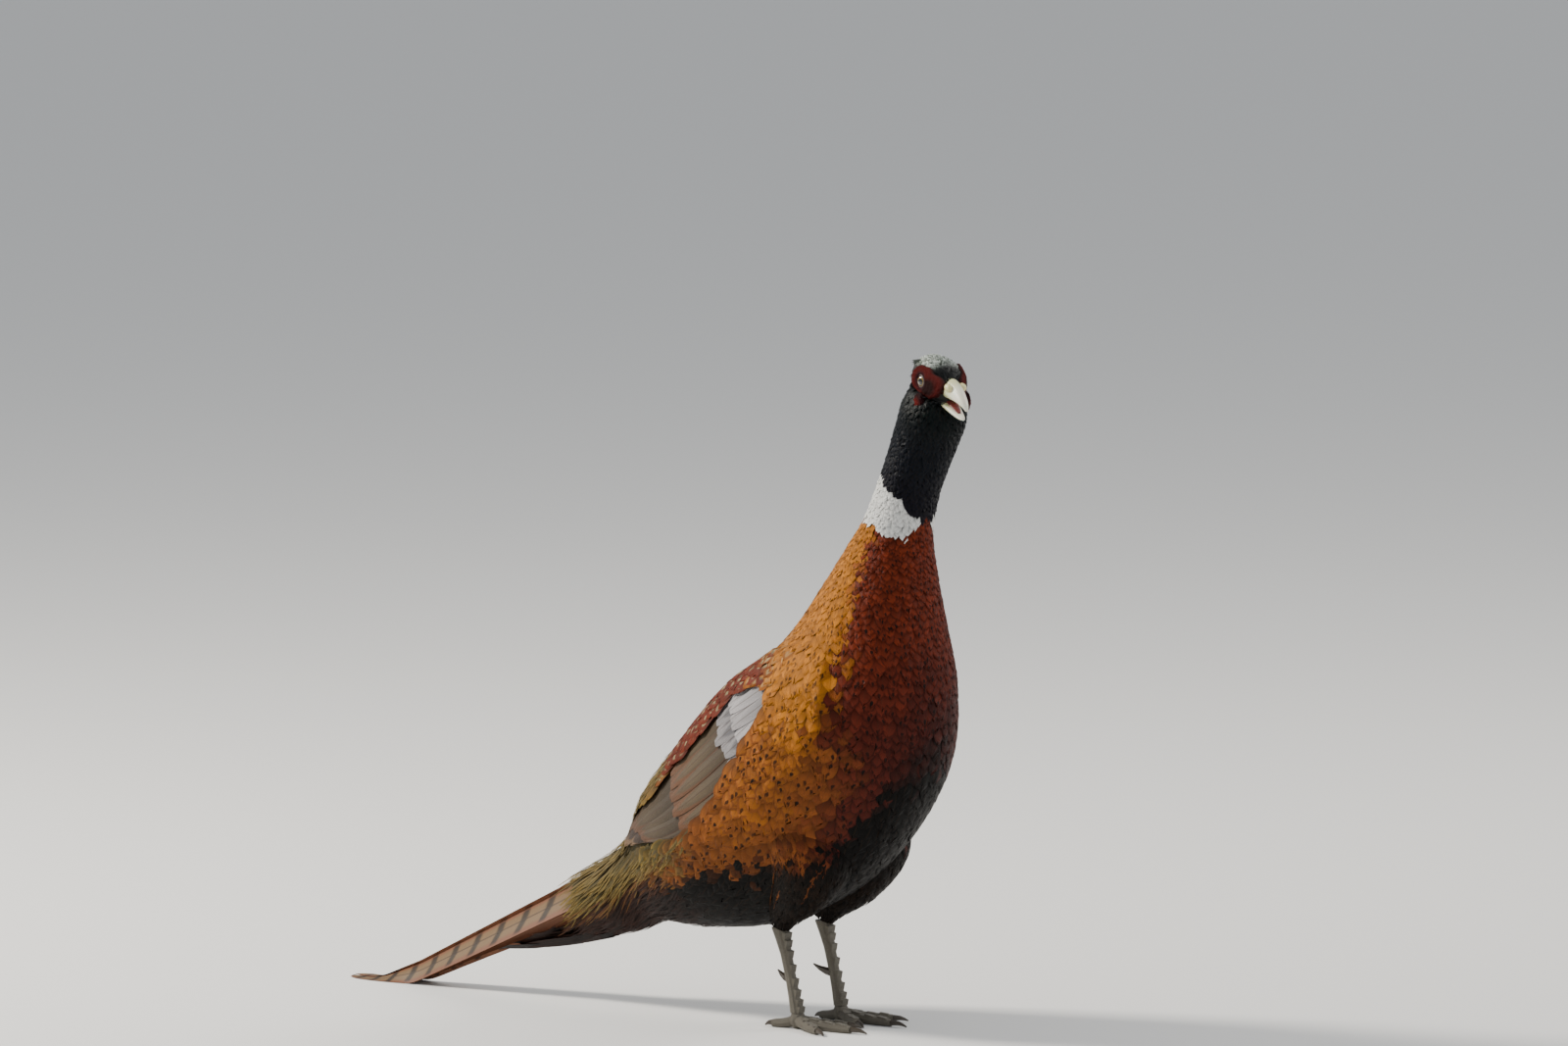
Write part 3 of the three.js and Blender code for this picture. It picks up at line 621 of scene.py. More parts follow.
def material(name, **sockets):
    """A named surface with its uniform values set, and the function that adds its nodes."""
    made = bpy.data.materials.new(name)
    made.use_nodes = True
    tree = made.node_tree

    def node(kind, *values, **named):
        """Adds a node and gives its output, or reaches the surface's own shader. A kind in capitals is that
        operation of a Math node. Values fill the inputs in order, a capitalised name fills the input of that
        name, and any other name is a setting."""
        if kind.isupper():
            kind, named = "Math", {**named, "operation": kind}
        ports, out, settings = NODE_USE.get(kind, (range(len(values)), 0, {}))
        new = tree.nodes["Principled BSDF"] if kind == "Surface" else tree.nodes.new("ShaderNode" + kind)
        wires = dict(zip(ports, values))
        for key, value in {**settings, **named}.items():
            if key.islower():
                setattr(new, key, value)
            else:
                wires[key.replace("_", " ")] = value
        for socket, value in wires.items():
            if isinstance(value, bpy.types.NodeSocket):
                tree.links.new(value, new.inputs[socket])
            else:
                new.inputs[socket].default_value = (*value, 1.0) if isinstance(value, np.ndarray) else value
        return new.outputs[out]

    node("Surface", **sockets)
    return made, node


def grains(per_mm):
    """The scale of a pattern with this many grains to the millimetre."""
    return per_mm / MM


def plumage(name, roughness, barbs=34.0, relief=0.35, shaft=0.25, **sockets):
    """Feathers: a tint with a fringe of another colour, a dark fleck or a pale heart, a shaft and fine barbs
    that slant away from it, so that light breaks up along each vane. `barbs` counts them along a feather,
    about 0.6 mm apart and so coarser than life, where finer ones would not show in the render."""
    made, node = material(name, Roughness=roughness, **sockets)
    tint, fringe = (node("Attribute", attribute_name=layer) for layer in ("Tint", "Fringe"))
    width, fleck, heart = node("SeparateColor", node("Attribute", attribute_name="Lace")).node.outputs[:3]
    across, along = node("SeparateXYZ", node("UVMap", uv_map="Vane")).node.outputs[:2]
    # the fringe follows the tip's round outline, torn by a noise of 0.8 mm
    ragged = node("TexNoise", Scale=grains(1.3), Detail=2.0)
    off_shaft = node("ABSOLUTE", node("MULTIPLY_ADD", across, 2.0, -1.0))
    tip = node("MAXIMUM", node("MULTIPLY_ADD", along, 2.4, -1.4), 0.0)
    out = node("SQRT", node("ADD", node("MULTIPLY", off_shaft, off_shaft), node("MULTIPLY", tip, tip)))
    out = node("ADD", out, node("MULTIPLY_ADD", ragged, 0.44, -0.22))
    inner = node("SUBTRACT", 1.0, width)
    edge = node("MapRange", out, node("SUBTRACT", inner, 0.1), node("ADD", inner, 0.06))
    colour = node("Mix", edge, tint, fringe)
    # painted shade: each feather is darker where it comes out from under its neighbours
    shade = node("MULTIPLY_ADD", node("MapRange", along, 0.35, 0.95), -0.5, 0.5)
    colour = node("Mix", shade, colour, SHADOW)
    # the fleck sits just short of the tip
    fleck_across = node("POWER", node("MULTIPLY", off_shaft, 1.9), 2.0)
    fleck_along = node("POWER", node("MULTIPLY_ADD", along, 7.0, -6.2), 2.0)
    fleck_far = node("SQRT", node("ADD", fleck_across, fleck_along))
    fleck_share = node("MULTIPLY", fleck, node("SUBTRACT", 1.0, node("MapRange", fleck_far, 0.45, 0.75)))
    colour = node("Mix", fleck_share, colour, BLACK)
    # the pale heart is ringed by a thin dark line
    ring = node("MapRange", out, node("SUBTRACT", inner, 0.3), node("SUBTRACT", inner, 0.18))
    ring = node("MULTIPLY", ring, node("SUBTRACT", 1.0, edge))
    colour = node("Mix", node("MULTIPLY", ring, node("MULTIPLY", heart, 0.8)), colour, UMBER * 0.5)
    barb_place = node("ADD", node("MULTIPLY", along, barbs), node("MULTIPLY", off_shaft, -barbs * 0.35))
    wave = node("SINE", node("MULTIPLY", barb_place, WAVE))
    colour = node("Mix", node("MULTIPLY_ADD", wave, 0.24, 0.24), colour, SHADOW)
    line = node("SUBTRACT", 1.0, node("MapRange", off_shaft, 0.03, 0.1))
    colour = node("Mix", node("MULTIPLY", line, shaft), colour, UMBER)
    grain = node("ADD", node("MULTIPLY", wave, 0.5), node("MULTIPLY", line, 1.2))
    node("Surface", Base_Color=colour, Normal=node("Bump", Height=grain, Strength=relief, Distance=0.2 * MM))
    return made


def skin_material():
    """Skin under the coat: dull and down-covered, in the coat's colours, seen only between feathers. The
    down's tufts are 1.4 mm apart."""
    made, node = material("down_covered_skin", Roughness=0.85)
    down = node("TexNoise", Scale=grains(0.7), Detail=3.0)
    tint = node("Attribute", attribute_name="Tint")
    node("Surface", Base_Color=node("Mix", node("MULTIPLY", down, 0.5), tint, DOWN_SHADOW),
         Normal=node("Bump", Height=down, Strength=0.5, Distance=0.4 * MM))
    return made


def tail_material():
    """Tail feathers: buff with dark bars 24 mm apart and a rosy fringe, the barbs 1.1 mm apart and so coarser
    than life, to show in the render."""
    made, node = material("barred_tail_feathers", Roughness=0.5, Specular_IOR_Level=0.25)
    tint, fringe = (node("Attribute", attribute_name=layer) for layer in ("Tint", "Fringe"))
    length = node("SeparateColor", node("Attribute", attribute_name="Lace"))
    across, along = node("SeparateXYZ", node("UVMap", uv_map="Vane")).node.outputs[:2]
    off_shaft = node("ABSOLUTE", node("MULTIPLY_ADD", across, 2.0, -1.0))
    run = node("MULTIPLY", along, node("MULTIPLY", length, TAIL_LENGTH_SCALE))
    ragged = node("TexNoise", Scale=grains(0.26), Detail=3.0)
    bar_place = node("ADD", run, node("MULTIPLY_ADD", off_shaft, -2.5, node("MULTIPLY", ragged, 7.0)))
    bar = node("SINE", node("MULTIPLY", bar_place, WAVE / BAR_PITCH))
    bar_end = node("SUBTRACT", 1.0, node("MapRange", off_shaft, 0.65, 1.0))
    bar_share = node("MULTIPLY", node("MapRange", bar, 0.3, 0.9), bar_end)
    edge = node("ADD", off_shaft, node("MULTIPLY_ADD", ragged, 0.3, -0.15))
    colour = node("Mix", node("MapRange", edge, 0.45, 0.8), tint, fringe)
    colour = node("Mix", node("MULTIPLY", bar_share, 0.85), colour, BLACK)
    barb_place = node("MULTIPLY_ADD", off_shaft, -9.0, run)
    wave = node("SINE", node("MULTIPLY", barb_place, WAVE / TAIL_BARB_PITCH))
    colour = node("Mix", node("MULTIPLY_ADD", wave, 0.13, 0.13), colour, BARB_SHADOW)
    line = node("SUBTRACT", 1.0, node("MapRange", off_shaft, 0.03, 0.09))
    colour = node("Mix", node("MULTIPLY", line, 0.7), colour, UMBER * 0.7)
    grain = node("ADD", node("MULTIPLY", wave, 0.5), node("MULTIPLY", line, 2.0))
    node("Surface", Base_Color=colour, Normal=node("Bump", Height=grain, Strength=0.4, Distance=0.2 * MM))
    return made


def speckled(name, roughness, colours, per_mm, relief, depth, **sockets):
    """A surface whose colour wanders between two tones with a fine raised grain, `depth` millimetres deep."""
    made, node = material(name, Roughness=roughness, **sockets)
    wander = node("TexNoise", Scale=grains(per_mm), Detail=4.0)
    dark, pale = map(linear, colours)
    node("Surface", Base_Color=node("Mix", node("MapRange", wander, 0.3, 0.7), dark, pale),
         Normal=node("Bump", Height=wander, Strength=relief, Distance=depth * MM))
    return made


def wattle_material():
    """Bare face skin: moist red, beaded with papillae 1.25 mm apart and dark between them."""
    made, node = material("bare_red_face_skin", Roughness=0.6, Specular_IOR_Level=0.12)
    beads = node("TexVoronoi", Scale=grains(0.8), Randomness=0.8)
    fine = node("TexNoise", Scale=grains(1.6), Detail=3.0)
    gap = node("MULTIPLY", node("MapRange", beads, 0.35, 0.75), 0.75)
    colour = node("Mix", gap, node("Attribute", attribute_name="Tint"), PAPILLA_GAP)
    colour = node("Mix", node("MULTIPLY", fine, 0.07), colour, PAPILLA_TOP)
    height = node("ADD", node("SUBTRACT", 1.0, beads), node("MULTIPLY", fine, 0.3))
    node("Surface", Base_Color=colour, Normal=node("Bump", Height=height, Strength=1.0, Distance=1.2 * MM))
    return made


def horn_material():
    """Bill horn: ivory, yellower at the root, with faint growth lines 2.4 mm apart and a waxy gloss."""
    made, node = material("ivory_bill_horn", Roughness=0.32, Subsurface_Weight=0.1, Specular_IOR_Level=0.5,
                          IOR=1.55)
    grain = node("TexNoise", Scale=grains(0.42), Detail=5.0, Distortion=0.6)
    lines = node("MULTIPLY", node("MapRange", grain, 0.45, 0.75), 0.35)
    node("Surface", Base_Color=node("Mix", lines, node("Attribute", attribute_name="Tint"), HORN_LINE),
         Normal=node("Bump", Height=grain, Strength=0.25, Distance=0.3 * MM))
    return made


def eye_material():
    """The eye: a wet clear cornea over a pale amber iris, threaded every 0.4 mm, and a black pupil."""
    made, node = material("wet_amber_eye", Roughness=0.08, Coat_Weight=1.0, Coat_Roughness=0.02, IOR=1.38)
    threads = node("TexNoise", Scale=grains(2.6), Detail=3.0)
    tint = node("Attribute", attribute_name="Tint")
    node("Surface", Base_Color=node("Mix", node("MULTIPLY", threads, 0.4), tint, SHADOW))
    return made


def scale_material():
    """Leg scales: dry grey skin cut into plates 1.9 mm across with darker gaps, worn in patches of 4 mm."""
    made, node = material("dry_grey_leg_scales", Roughness=0.55, Specular_IOR_Level=0.45)
    plates = node("TexVoronoi", Scale=grains(0.52), Randomness=0.55, feature="DISTANCE_TO_EDGE")
    wear = node("TexNoise", Scale=grains(0.24), Detail=4.0)
    rim = node("SUBTRACT", 1.0, node("MapRange", plates, 0.02, 0.12))
    colour = node("Mix", node("MapRange", wear, 0.3, 0.7), SCALE_DARK, SCALE_PALE)
    colour = node("Mix", node("MULTIPLY", rim, 0.85), colour, SCALE_GAP)
    dome = node("MapRange", plates, 0.0, 0.15)
    node("Surface", Base_Color=colour, Normal=node("Bump", Height=dome, Strength=0.6, Distance=0.4 * MM))
    return made


body_plumage = plumage("glossy_body_feathers", 0.5, Specular_IOR_Level=0.08)
rump_plumage = plumage("loose_rump_feathers", 0.6, barbs=18.0, Specular_IOR_Level=0.2)
neck_plumage = plumage("iridescent_neck_feathers", 0.42, barbs=16.0, relief=0.25, Specular_IOR_Level=0.1)
head_plumage = plumage("short_bronze_head_feathers", 0.4, barbs=10.0, relief=0.3, Specular_IOR_Level=0.25)
collar_plumage = plumage("matt_white_collar_feathers", 0.75, barbs=12.0, relief=0.2, shaft=0.05,
                         Sheen_Weight=0.2, Sheen_Roughness=0.6)
wing_plumage = plumage("stiff_wing_feathers", 0.52, barbs=55.0, relief=0.4, shaft=0.6, Specular_IOR_Level=0.3)
skin_surface, tail_surface, wattle_surface = skin_material(), tail_material(), wattle_material()
horn_surface, eye_surface = horn_material(), eye_material()
tongue_surface = speckled("moist_dark_red_mouth_skin", 0.3, ("#7a2a28", "#4a1416"), 0.6, 0.3, 0.3,
                          Subsurface_Weight=0.1)
claw_surface = speckled("dark_claw_horn", 0.38, ("#2c2620", "#4a4136"), 0.32, 0.2, 0.2)
lid_surface = speckled("grey_eyelid_skin", 0.5, ("#3b2d2a", "#5d4a44"), 1.2, 0.4, 0.2)
scale_surface = scale_material()


# The skin: trunk, neck, skull and thighs in one unbroken sheet
def trunk_skin_colour(station, angle, rng):
    """The coat's own colours, a little darker, with the collar and the dark neck over it."""
    degrees = degrees_of(angle)
    tint = body_marking(station, degrees, rng)[0]
    bottom, top = collar_edges(degrees)
    tint = np.where((station >= top)[:, None], FOREHEAD * 0.8, tint * 0.7)
    return np.where(((station >= bottom) & (station < top))[:, None], WHITE * 0.8, tint)


def build_skin():
    """Closes each form, joins them by a remesh, and colours the sheet from the nearest point of a form."""
    forms = [(lambda t, a: trunk(SKIN_START + t * SKIN_RUN, a, -COAT_DEPTH), 150, 90, None),
             (lambda t, a: skull(t, a, -1.0), 40, 48, FOREHEAD)]
    forms += [(lambda t, a, thigh=thigh_of(side): thigh(t, a, -COAT_DEPTH * 0.6), 30, 36, UMBER * 0.35)
              for _, side in SIDES]
    rng = np.random.default_rng(3)
    points, faces, colours = [], [], []
    start = 0
    for section, steps, around, tint in forms:
        t, a = np.meshgrid(np.linspace(0, 1, steps + 1), ring_of(around), indexing="ij")
        grid = section(t, a)
        points += [grid.reshape(-1, 3), grid[0].mean(0, keepdims=True), grid[-1].mean(0, keepdims=True)]
        ring = np.arange(around)
        ahead, pole = np.roll(ring, -1), np.full(around, t.size)
        last = steps * around
        low = np.stack([ring, ahead, pole, pole], -1)
        high = np.stack([ahead + last, ring + last, pole + 1, pole + 1], -1)
        quads = grid_faces(1, steps + 1, around, wrap=True)[:, ::-1]
        faces.append(np.concatenate([quads, low, high]) + start)
        if tint is None:
            shades = trunk_skin_colour(SKIN_START + t.ravel() * SKIN_RUN, a.ravel(), rng)
        else:
            shades = np.tile(tint, (t.size, 1))
        colours += [shades, shades[:1], shades[-1:]]
        start += t.size + 2
    world = to_world(np.concatenate(points))
    mesh = bpy.data.meshes.new("skin_form")
    corners = [tuple(dict.fromkeys(face)) for face in np.concatenate(faces).tolist()]
    mesh.from_pydata(world.tolist(), [], corners)
    form = bpy.data.objects.new("skin_form", mesh)
    bpy.context.scene.collection.objects.link(form)
    remesh = form.modifiers.new("one_sheet", "REMESH")
    remesh.mode = "VOXEL"
    remesh.voxel_size = 0.002
    form.modifiers.new("soften", "SMOOTH").iterations = 4
    sheet = bpy.data.meshes.new_from_object(form.evaluated_get(bpy.context.evaluated_depsgraph_get()))
    bpy.data.objects.remove(form)
    skin = bpy.data.objects.new("skin", sheet)
    bpy.context.scene.collection.objects.link(skin)
    fill_crease(sheet)
    paint(skin, "Tint", np.concatenate(colours)[nearest_finder(world)(mesh_points(sheet))])
    sheet.polygons.foreach_set("use_smooth", np.full(len(sheet.polygons), True))
    sheet.materials.clear()
    finish_piece(skin, skin_surface, "body_feathers")
    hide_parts("rump", "torso", "neck_lower", "collar", "neck_upper", "head",
                "thigh_left", "thigh_right")
    return skin


def fill_crease(sheet):
    """Evens out the hollow between the head and the top of the neck."""
    places = mesh_points(sheet).astype(float)
    ends = np.empty(len(sheet.edges) * 2, np.int32)
    sheet.edges.foreach_get("vertices", ends)
    one, two = ends[::2], ends[1::2]
    bird = to_bird(places)
    x, _, z = in_head(bird).T
    free = between(bird[:, 2], 466, 480) * (1 - between(z, -2, 4)) * (1 - between(x, 8, 16))
    joined = np.maximum(np.bincount(ends, minlength=len(places)), 1)[:, None]
    for _ in range(60):
        total = np.stack([sum(np.bincount(here, places[there, k], len(places))
                              for here, there in ((one, two), (two, one))) for k in range(3)], -1)
        places += (total / joined - places) * free[:, None] * 0.7
    sheet.vertices.foreach_set("co", places.astype(np.float32).ravel())
    sheet.update()


# Coats
def in_window(station, degrees):
    """Whether a root lies where the wing shows."""
    top, low = window_edges(station)
    return (degrees > top) & (degrees < low)


def body_coat():
    """The back, breast and flank, in three pieces, left open where the wing shows."""
    rng = np.random.default_rng(11)
    rows = (2, 4, 7, 9, 10.2)
    s, a = rows_over(trunk, 2.2, 11.2, lambda s: np.interp(s, rows, (6.6, 6.6, 5.4, 4.2, 3.4)),
                     lambda s: np.interp(s, rows, (7.4, 7.6, 6.2, 4.8, 3.8)), rng)
    below, _ = collar_state(s, a, rng)
    degrees = degrees_of(a)
    keep = below & ~(in_window(s, degrees) & (s < WING_WINDOW[-1, 0]))
    s, a, degrees = s[keep], a[keep], degrees[keep]
    n = len(s)
    marking = body_marking(s, degrees, rng)
    size = np.interp(s, rows, (23, 23, 19, 14, 10)) * rng.uniform(0.9, 1.12, n)
    scapular = (degrees < 60) & (s < 7)
    size = np.where(scapular, size * 1.12, size)
    width = size * np.where(scapular, 0.5, 0.54)
    # the flanks' feathers turn a little towards the belly
    turn = 0.28 * np.sin(a) + rng.normal(0, 0.11, n)
    roll = rng.normal(0, 0.2, n)
    back = degrees < 62
    front = s >= 6.2
    for name, part in (("back_coat", back), ("breast_coat", ~back & front), ("flank_coat", ~back & ~front)):
        coat = Coat(name)
        own = [kept[part] for kept in marking]
        grow_feathers(coat, trunk, s[part], a[part], size[part], width[part], own, turn=turn[part],
                      lift=0.35, crown=0.25, rows=8, columns=9, rng=rng, over=wing_cover,
                      bake=trunk_bake(s[part], a[part]), roll=roll[part], ragged=0.055)
        coat.build(body_plumage, "body_feathers")


def rump_coat():
    """Long loose strands over the lower back and the tail's root."""
    rng = np.random.default_rng(12)
    coat = Coat("rump_coat")
    s, a = rows_over(trunk, -0.6, 3.3, lambda s: 4.4, lambda s: 3.6, rng)
    degrees = degrees_of(a)
    keep = ~(in_window(s, degrees) & (s > 1.25)) & ~((s > 2.5) & (degrees > 90))
    s, a, degrees = s[keep], a[keep], degrees[keep]
    n = len(s)
    marking = body_marking(np.minimum(s, 2.2), degrees, rng)
    length = np.interp(s, (-0.6, 1, 3.3), (46, 40, 26)) * rng.uniform(0.7, 1.2, n)
    grow_feathers(coat, trunk, s, a, length, rng.uniform(2.6, 4.6, n), marking,
                  turn=0.35 * np.sin(a) + rng.normal(0, 0.12, n), lift=1.6, crown=0.1, outline=strand_outline,
                  rows=7, columns=3, rng=rng, over=wing_cover, bake=trunk_bake(s, a))
    coat.build(rump_plumage, "rump_feathers")


def neck_coat():
    """The dark neck, bluer above and more violet below, and the white collar under it."""
    rng = np.random.default_rng(13)
    roots = rows_over(trunk, 10.0, 15.3, lambda s: 2.5, lambda s: 2.7, rng)
    below, ring = collar_state(*roots, rng)
    coats = []
    for name, patch in (("neck_coat", ~below & ~ring), ("collar_coat", ring)):
        coat = Coat(name)
        s, a = (kept[patch] for kept in roots)
        n = len(s)
        shade = rng.uniform(0.8, 1.25, (n, 1))
        if name == "neck_coat":
            violet = (1 - between(s, 10.8, 12.6)) * 0.7 + rng.uniform(0, 1, n) * 0.2
            tint = blend(np.tile(NECK_BLUE, (n, 1)), NECK_GREEN, between(s, 12.5, 15))
            tint = blend(tint, NECK_VIOLET, violet) * shade
            marking = (tint, tint * 1.7, lace_of(n, 0.3))
        else:
            white = np.tile(WHITE, (n, 1))
            marking = (white * rng.uniform(0.9, 1.02, (n, 1)), white, lace_of(n, 0.2))
        grow_feathers(coat, trunk, s, a, rng.uniform(7, 9.5, n), rng.uniform(3.6, 4.8, n), marking,
                      turn=rng.normal(0, 0.14, n), depth=2.6, lift=0.6, crown=0.25, rows=5, columns=4,
                      rng=rng, bake=trunk_bake(s, a), roll=rng.normal(0, 0.25, n))
        coats.append(coat)
    coats[0].build(neck_plumage, "neck_feathers")
    coats[1].build(collar_plumage, "collar_feathers")


def inside_outline(x, z, outline):
    """Whether points lie inside a closed outline."""
    hit = np.zeros(x.shape, bool)
    for (x0, z0), (x1, z1) in zip(outline, np.roll(outline, -1, axis=0)):
        cross = (z0 > z) != (z1 > z)
        hit ^= cross & (x < (x1 - x0) * (z - z0) / (z1 - z0 + 1e-9) + x0)
    return hit


def on_bare_face(x, y, z, size=1.0):
    """Whether points of the head's frame lie under the bare face skin."""
    return inside_outline(x, z, WATTLE_EDGE * size) & (np.abs(y) > 5)


def head_coat():
    """The dark forehead, the bronze and silver crown, whose silver is partly its own colour and partly
    painted sheen, the ear tufts and the feathers over the neck's top.
    """
    rng = np.random.default_rng(14)
    coat = Coat("head_coat")
    s, a = rows_over(skull, 0.06, 0.985, lambda s: 1.7, lambda s: 1.8, rng)
    x, y, z = skull_local(s, a).T
    mouth = (x > 19) & (np.abs(z + 9) < 1.6)
    keep = ~on_bare_face(x, y, z, 0.97) & ~mouth
    s, a, x, z = s[keep], a[keep], x[keep], z[keep]
    n = len(s)
    crown = between(z, 4, 9) * (1 - between(x, 6, 15))
    # the crown's pale silver is partly the feathers' own colour and partly a painted sheen on the top of the
    # head
    pale = np.clip(crown * rng.uniform(0.0, 1.3, n), 0, 1)
    tint = blend(blend(np.tile(FOREHEAD, (n, 1)), BRONZE, crown), CROWN_SILVER_AND_SHEEN, pale * 0.85)
    tint = blend(tint, NECK_VIOLET, (1 - between(z, -14, -8)) * 0.4)
    length = np.interp(x, (-27, -10, 10, 26), (7, 5.6, 4.2, 2.6)) * rng.uniform(0.85, 1.15, n)
    marking = (tint * rng.uniform(0.55, 1.4, (n, 1)), tint * 1.8, lace_of(n, 0.35))
    grow_feathers(coat, skull, s, a, length, length * 0.5, marking, turn=rng.normal(0, 0.2, n), depth=1.0,
                  lift=0.75, crown=0.12, rows=4, columns=3, rng=rng, bake=unwrap(a, s))
    # ear tufts: stiff little horns of feathers behind the crown
    for _, side in SIDES:
        for _ in range(46):
            root = np.array([rng.uniform(-16, -8), side * rng.uniform(7.5, 12.0), rng.uniform(6, 9.5)])
            aim = np.array([-1.0, side * rng.uniform(0.0, 0.1), rng.uniform(-0.6, -0.38)])
            lone_feather(coat, root, aim, np.array([0, side * 0.45, 0.9]), rng.uniform(8, 13), 1.8,
                         BRONZE * rng.uniform(0.5, 1.0), rng)
    # the hollow where the head's feathers meet at the back is closed by feathers that point down
    for _ in range(90):
        root = np.array([rng.uniform(-24.5, -20), rng.uniform(-8, 8), rng.uniform(-6, 7)])
        aim = np.array([-0.42, rng.normal(0, 0.1), -0.9])
        lone_feather(coat, root, aim, np.array([-0.9, 0, 0.42]), rng.uniform(8, 11), 3.6,
                     FOREHEAD * rng.uniform(0.8, 1.6), rng)
    bridge_feathers(coat, rng)
    coat.build(head_plumage, "head_feathers")


def lone_feather(coat, root, aim, up, length, width, tint, rng):
    """One free feather in the head's frame."""
    rows, columns = 5, 3
    t, w = np.linspace(0, 1, rows), np.linspace(-1, 1, columns)
    aim = aim / np.linalg.norm(aim)
    across = np.cross(up, aim)
    across /= np.linalg.norm(across)
    half = width / 2 * lance_outline(t)[:, None] * w
    points = (root + aim * (length * t)[:, None, None] + across * half[..., None]
              + np.cross(aim, across) * (0.8 * t ** 2)[:, None, None])
    coat.add(from_head(points)[None], (tint[None], (tint * 1.6)[None], lace_of(1, 0.3)),
             rng.uniform(0.02, 0.98, (1, 2)), rows, columns, t, w)


def bridge_feathers(coat, rng):
    """Feathers that start low on the head and bend out over the neck's top, where a crease would show."""
    count = 520
    t, a = rng.uniform(0.06, 0.62, count), rng.uniform(math.radians(84), math.radians(276), count)
    local = skull_local(t, a, -0.6)
    x, y, z = local.T
    lobe = (x > 0) & (x < 18) & (np.abs(y) > 9)
    start = from_head(local[~on_bare_face(x, y, z) & ~lobe])
    n = len(start)
    station, angle = trunk_finder()(start)
    reach = rng.uniform(0.25, 0.55, n)
    bend = trunk(station - 0.08, angle, 1.5)
    end = trunk(station - reach, angle, rng.uniform(0.6, 1.6, n))
    rows, columns = 6, 4
    k, w = np.linspace(0, 1, rows)[:, None, None], np.linspace(-1, 1, columns)[:, None]
    start, bend, end = (p[:, None, None] for p in (start, bend, end))
    path = (1 - k) ** 2 * start + 2 * k * (1 - k) * bend + k ** 2 * end
    run = np.diff(path, axis=1, append=2 * path[:, -1:] - path[:, -2:-1])
    out = trunk(station, angle, 5.0) - trunk(station, angle)
    across = np.cross(run[:, :, 0], out[:, None])
    across /= np.linalg.norm(across, axis=-1)[..., None]
    half = rng.uniform(1.7, 2.4, (n, 1, 1, 1)) * round_outline(k)[None]
    tint = blend(np.tile(FOREHEAD, (n, 1)), NECK_BLUE, rng.uniform(0, 1, n)) * rng.uniform(0.8, 1.5, (n, 1))
    coat.add(path + across[:, :, None] * half * w, (tint, tint * 1.6, lace_of(n, 0.3)),
             trunk_bake(station, angle), rows, columns, k[:, 0, 0], w[:, 0])


def nape_coat():
    """Short feathers rooted in the skin that lead from the head on to the neck, so that no step shows."""
    rng = np.random.default_rng(16)
    coat = Coat("nape_coat")
    bird = to_bird(mesh_points(skin.data).astype(float))
    normals = mesh_points(skin.data, "vector").astype(float)
    x, y, z = in_head(bird).T
    near = (bird[:, 2] > 478) & (z < 4) & (x > -27) & ~on_bare_face(x, y, z) & ~((x > 13) & (z > -20))
    near &= ~((x > 0) & (x < 18) & (np.abs(y) > 11) & (z > -28))
    rows, columns = 5, 4
    t, w = np.linspace(0, 1, rows)[:, None, None], np.linspace(-1, 1, columns)[:, None]
    down = np.array([-0.37, 0, -0.93])
    roots = []
    for i in rng.permutation(np.flatnonzero(near)):
        if not roots or np.abs(bird[roots] - bird[i]).sum(1).min() > NAPE_SPACING:
            roots.append(i)
    for i in roots:
        normal = normals[i]
        along = down - normal * (down @ normal) + rng.normal(0, 0.12, 3)
        along /= np.linalg.norm(along)
        length = rng.uniform(8, 11)
        half = rng.uniform(1.8, 2.4) * round_outline(t) * w
        points = (bird[i] + along * length * t + np.cross(normal, along) * half
                  + normal * (-0.8 + 3.1 * t ** 0.8))
        tint = blend(NECK_GREEN[None], NECK_BLUE, rng.uniform(0, 1, 1)) * rng.uniform(0.7, 1.3)
        place = np.array([[0.5 + math.atan2(y[i], -x[i]) / 6.6, 0.5 + z[i] / 60]])
        coat.add(points[None], (tint, tint * 1.7, lace_of(1, 0.3)), place, rows, columns, t[:, 0, 0], w[:, 0])
    coat.build(neck_plumage, "neck_feathers")


def thigh_coat():
    """Both thighs: the flank's colours at the top, fading to black down."""
    rng = np.random.default_rng(15)
    coat = Coat("thigh_coat")
    find = trunk_finder()
    for _, side in SIDES:
        thigh = thigh_of(side)
        s, a = rows_over(thigh, 0.0, 0.97, lambda s: 3.4, lambda s: 3.6, rng)
        n = len(s)
        station, angle = find(thigh(s, a))
        tint, fringe, lace = body_marking(station, degrees_of(angle), rng)
        high = 1 - between(s, 0.1, 0.32)
        down = blend(np.tile(BELLY, (n, 1)), UMBER * 0.4, rng.uniform(0, 0.6, n))
        marking = (blend(down, tint, high), blend(down * 1.5, fringe, high), lace)
        size = np.interp(s, (0, 0.3, 0.6, 1), (17, 15, 11, 8)) * rng.uniform(0.85, 1.15, n)
        width = size * np.interp(s, (0, 0.5, 1), (0.5, 0.34, 0.3))
        grow_feathers(coat, lambda s, a, grow=0.0: thigh(1 - s, a, grow), 1 - s, a, size, width, marking,
                      turn=rng.normal(0, 0.16, n), depth=2.0, lift=0.5, crown=0.15, rows=6, columns=5,
                      rng=rng, ragged=0.1, bake=unwrap(a, s, 0.01 if side > 0 else 0.51, 0.48))
    coat.build(body_plumage, "thigh_feathers")


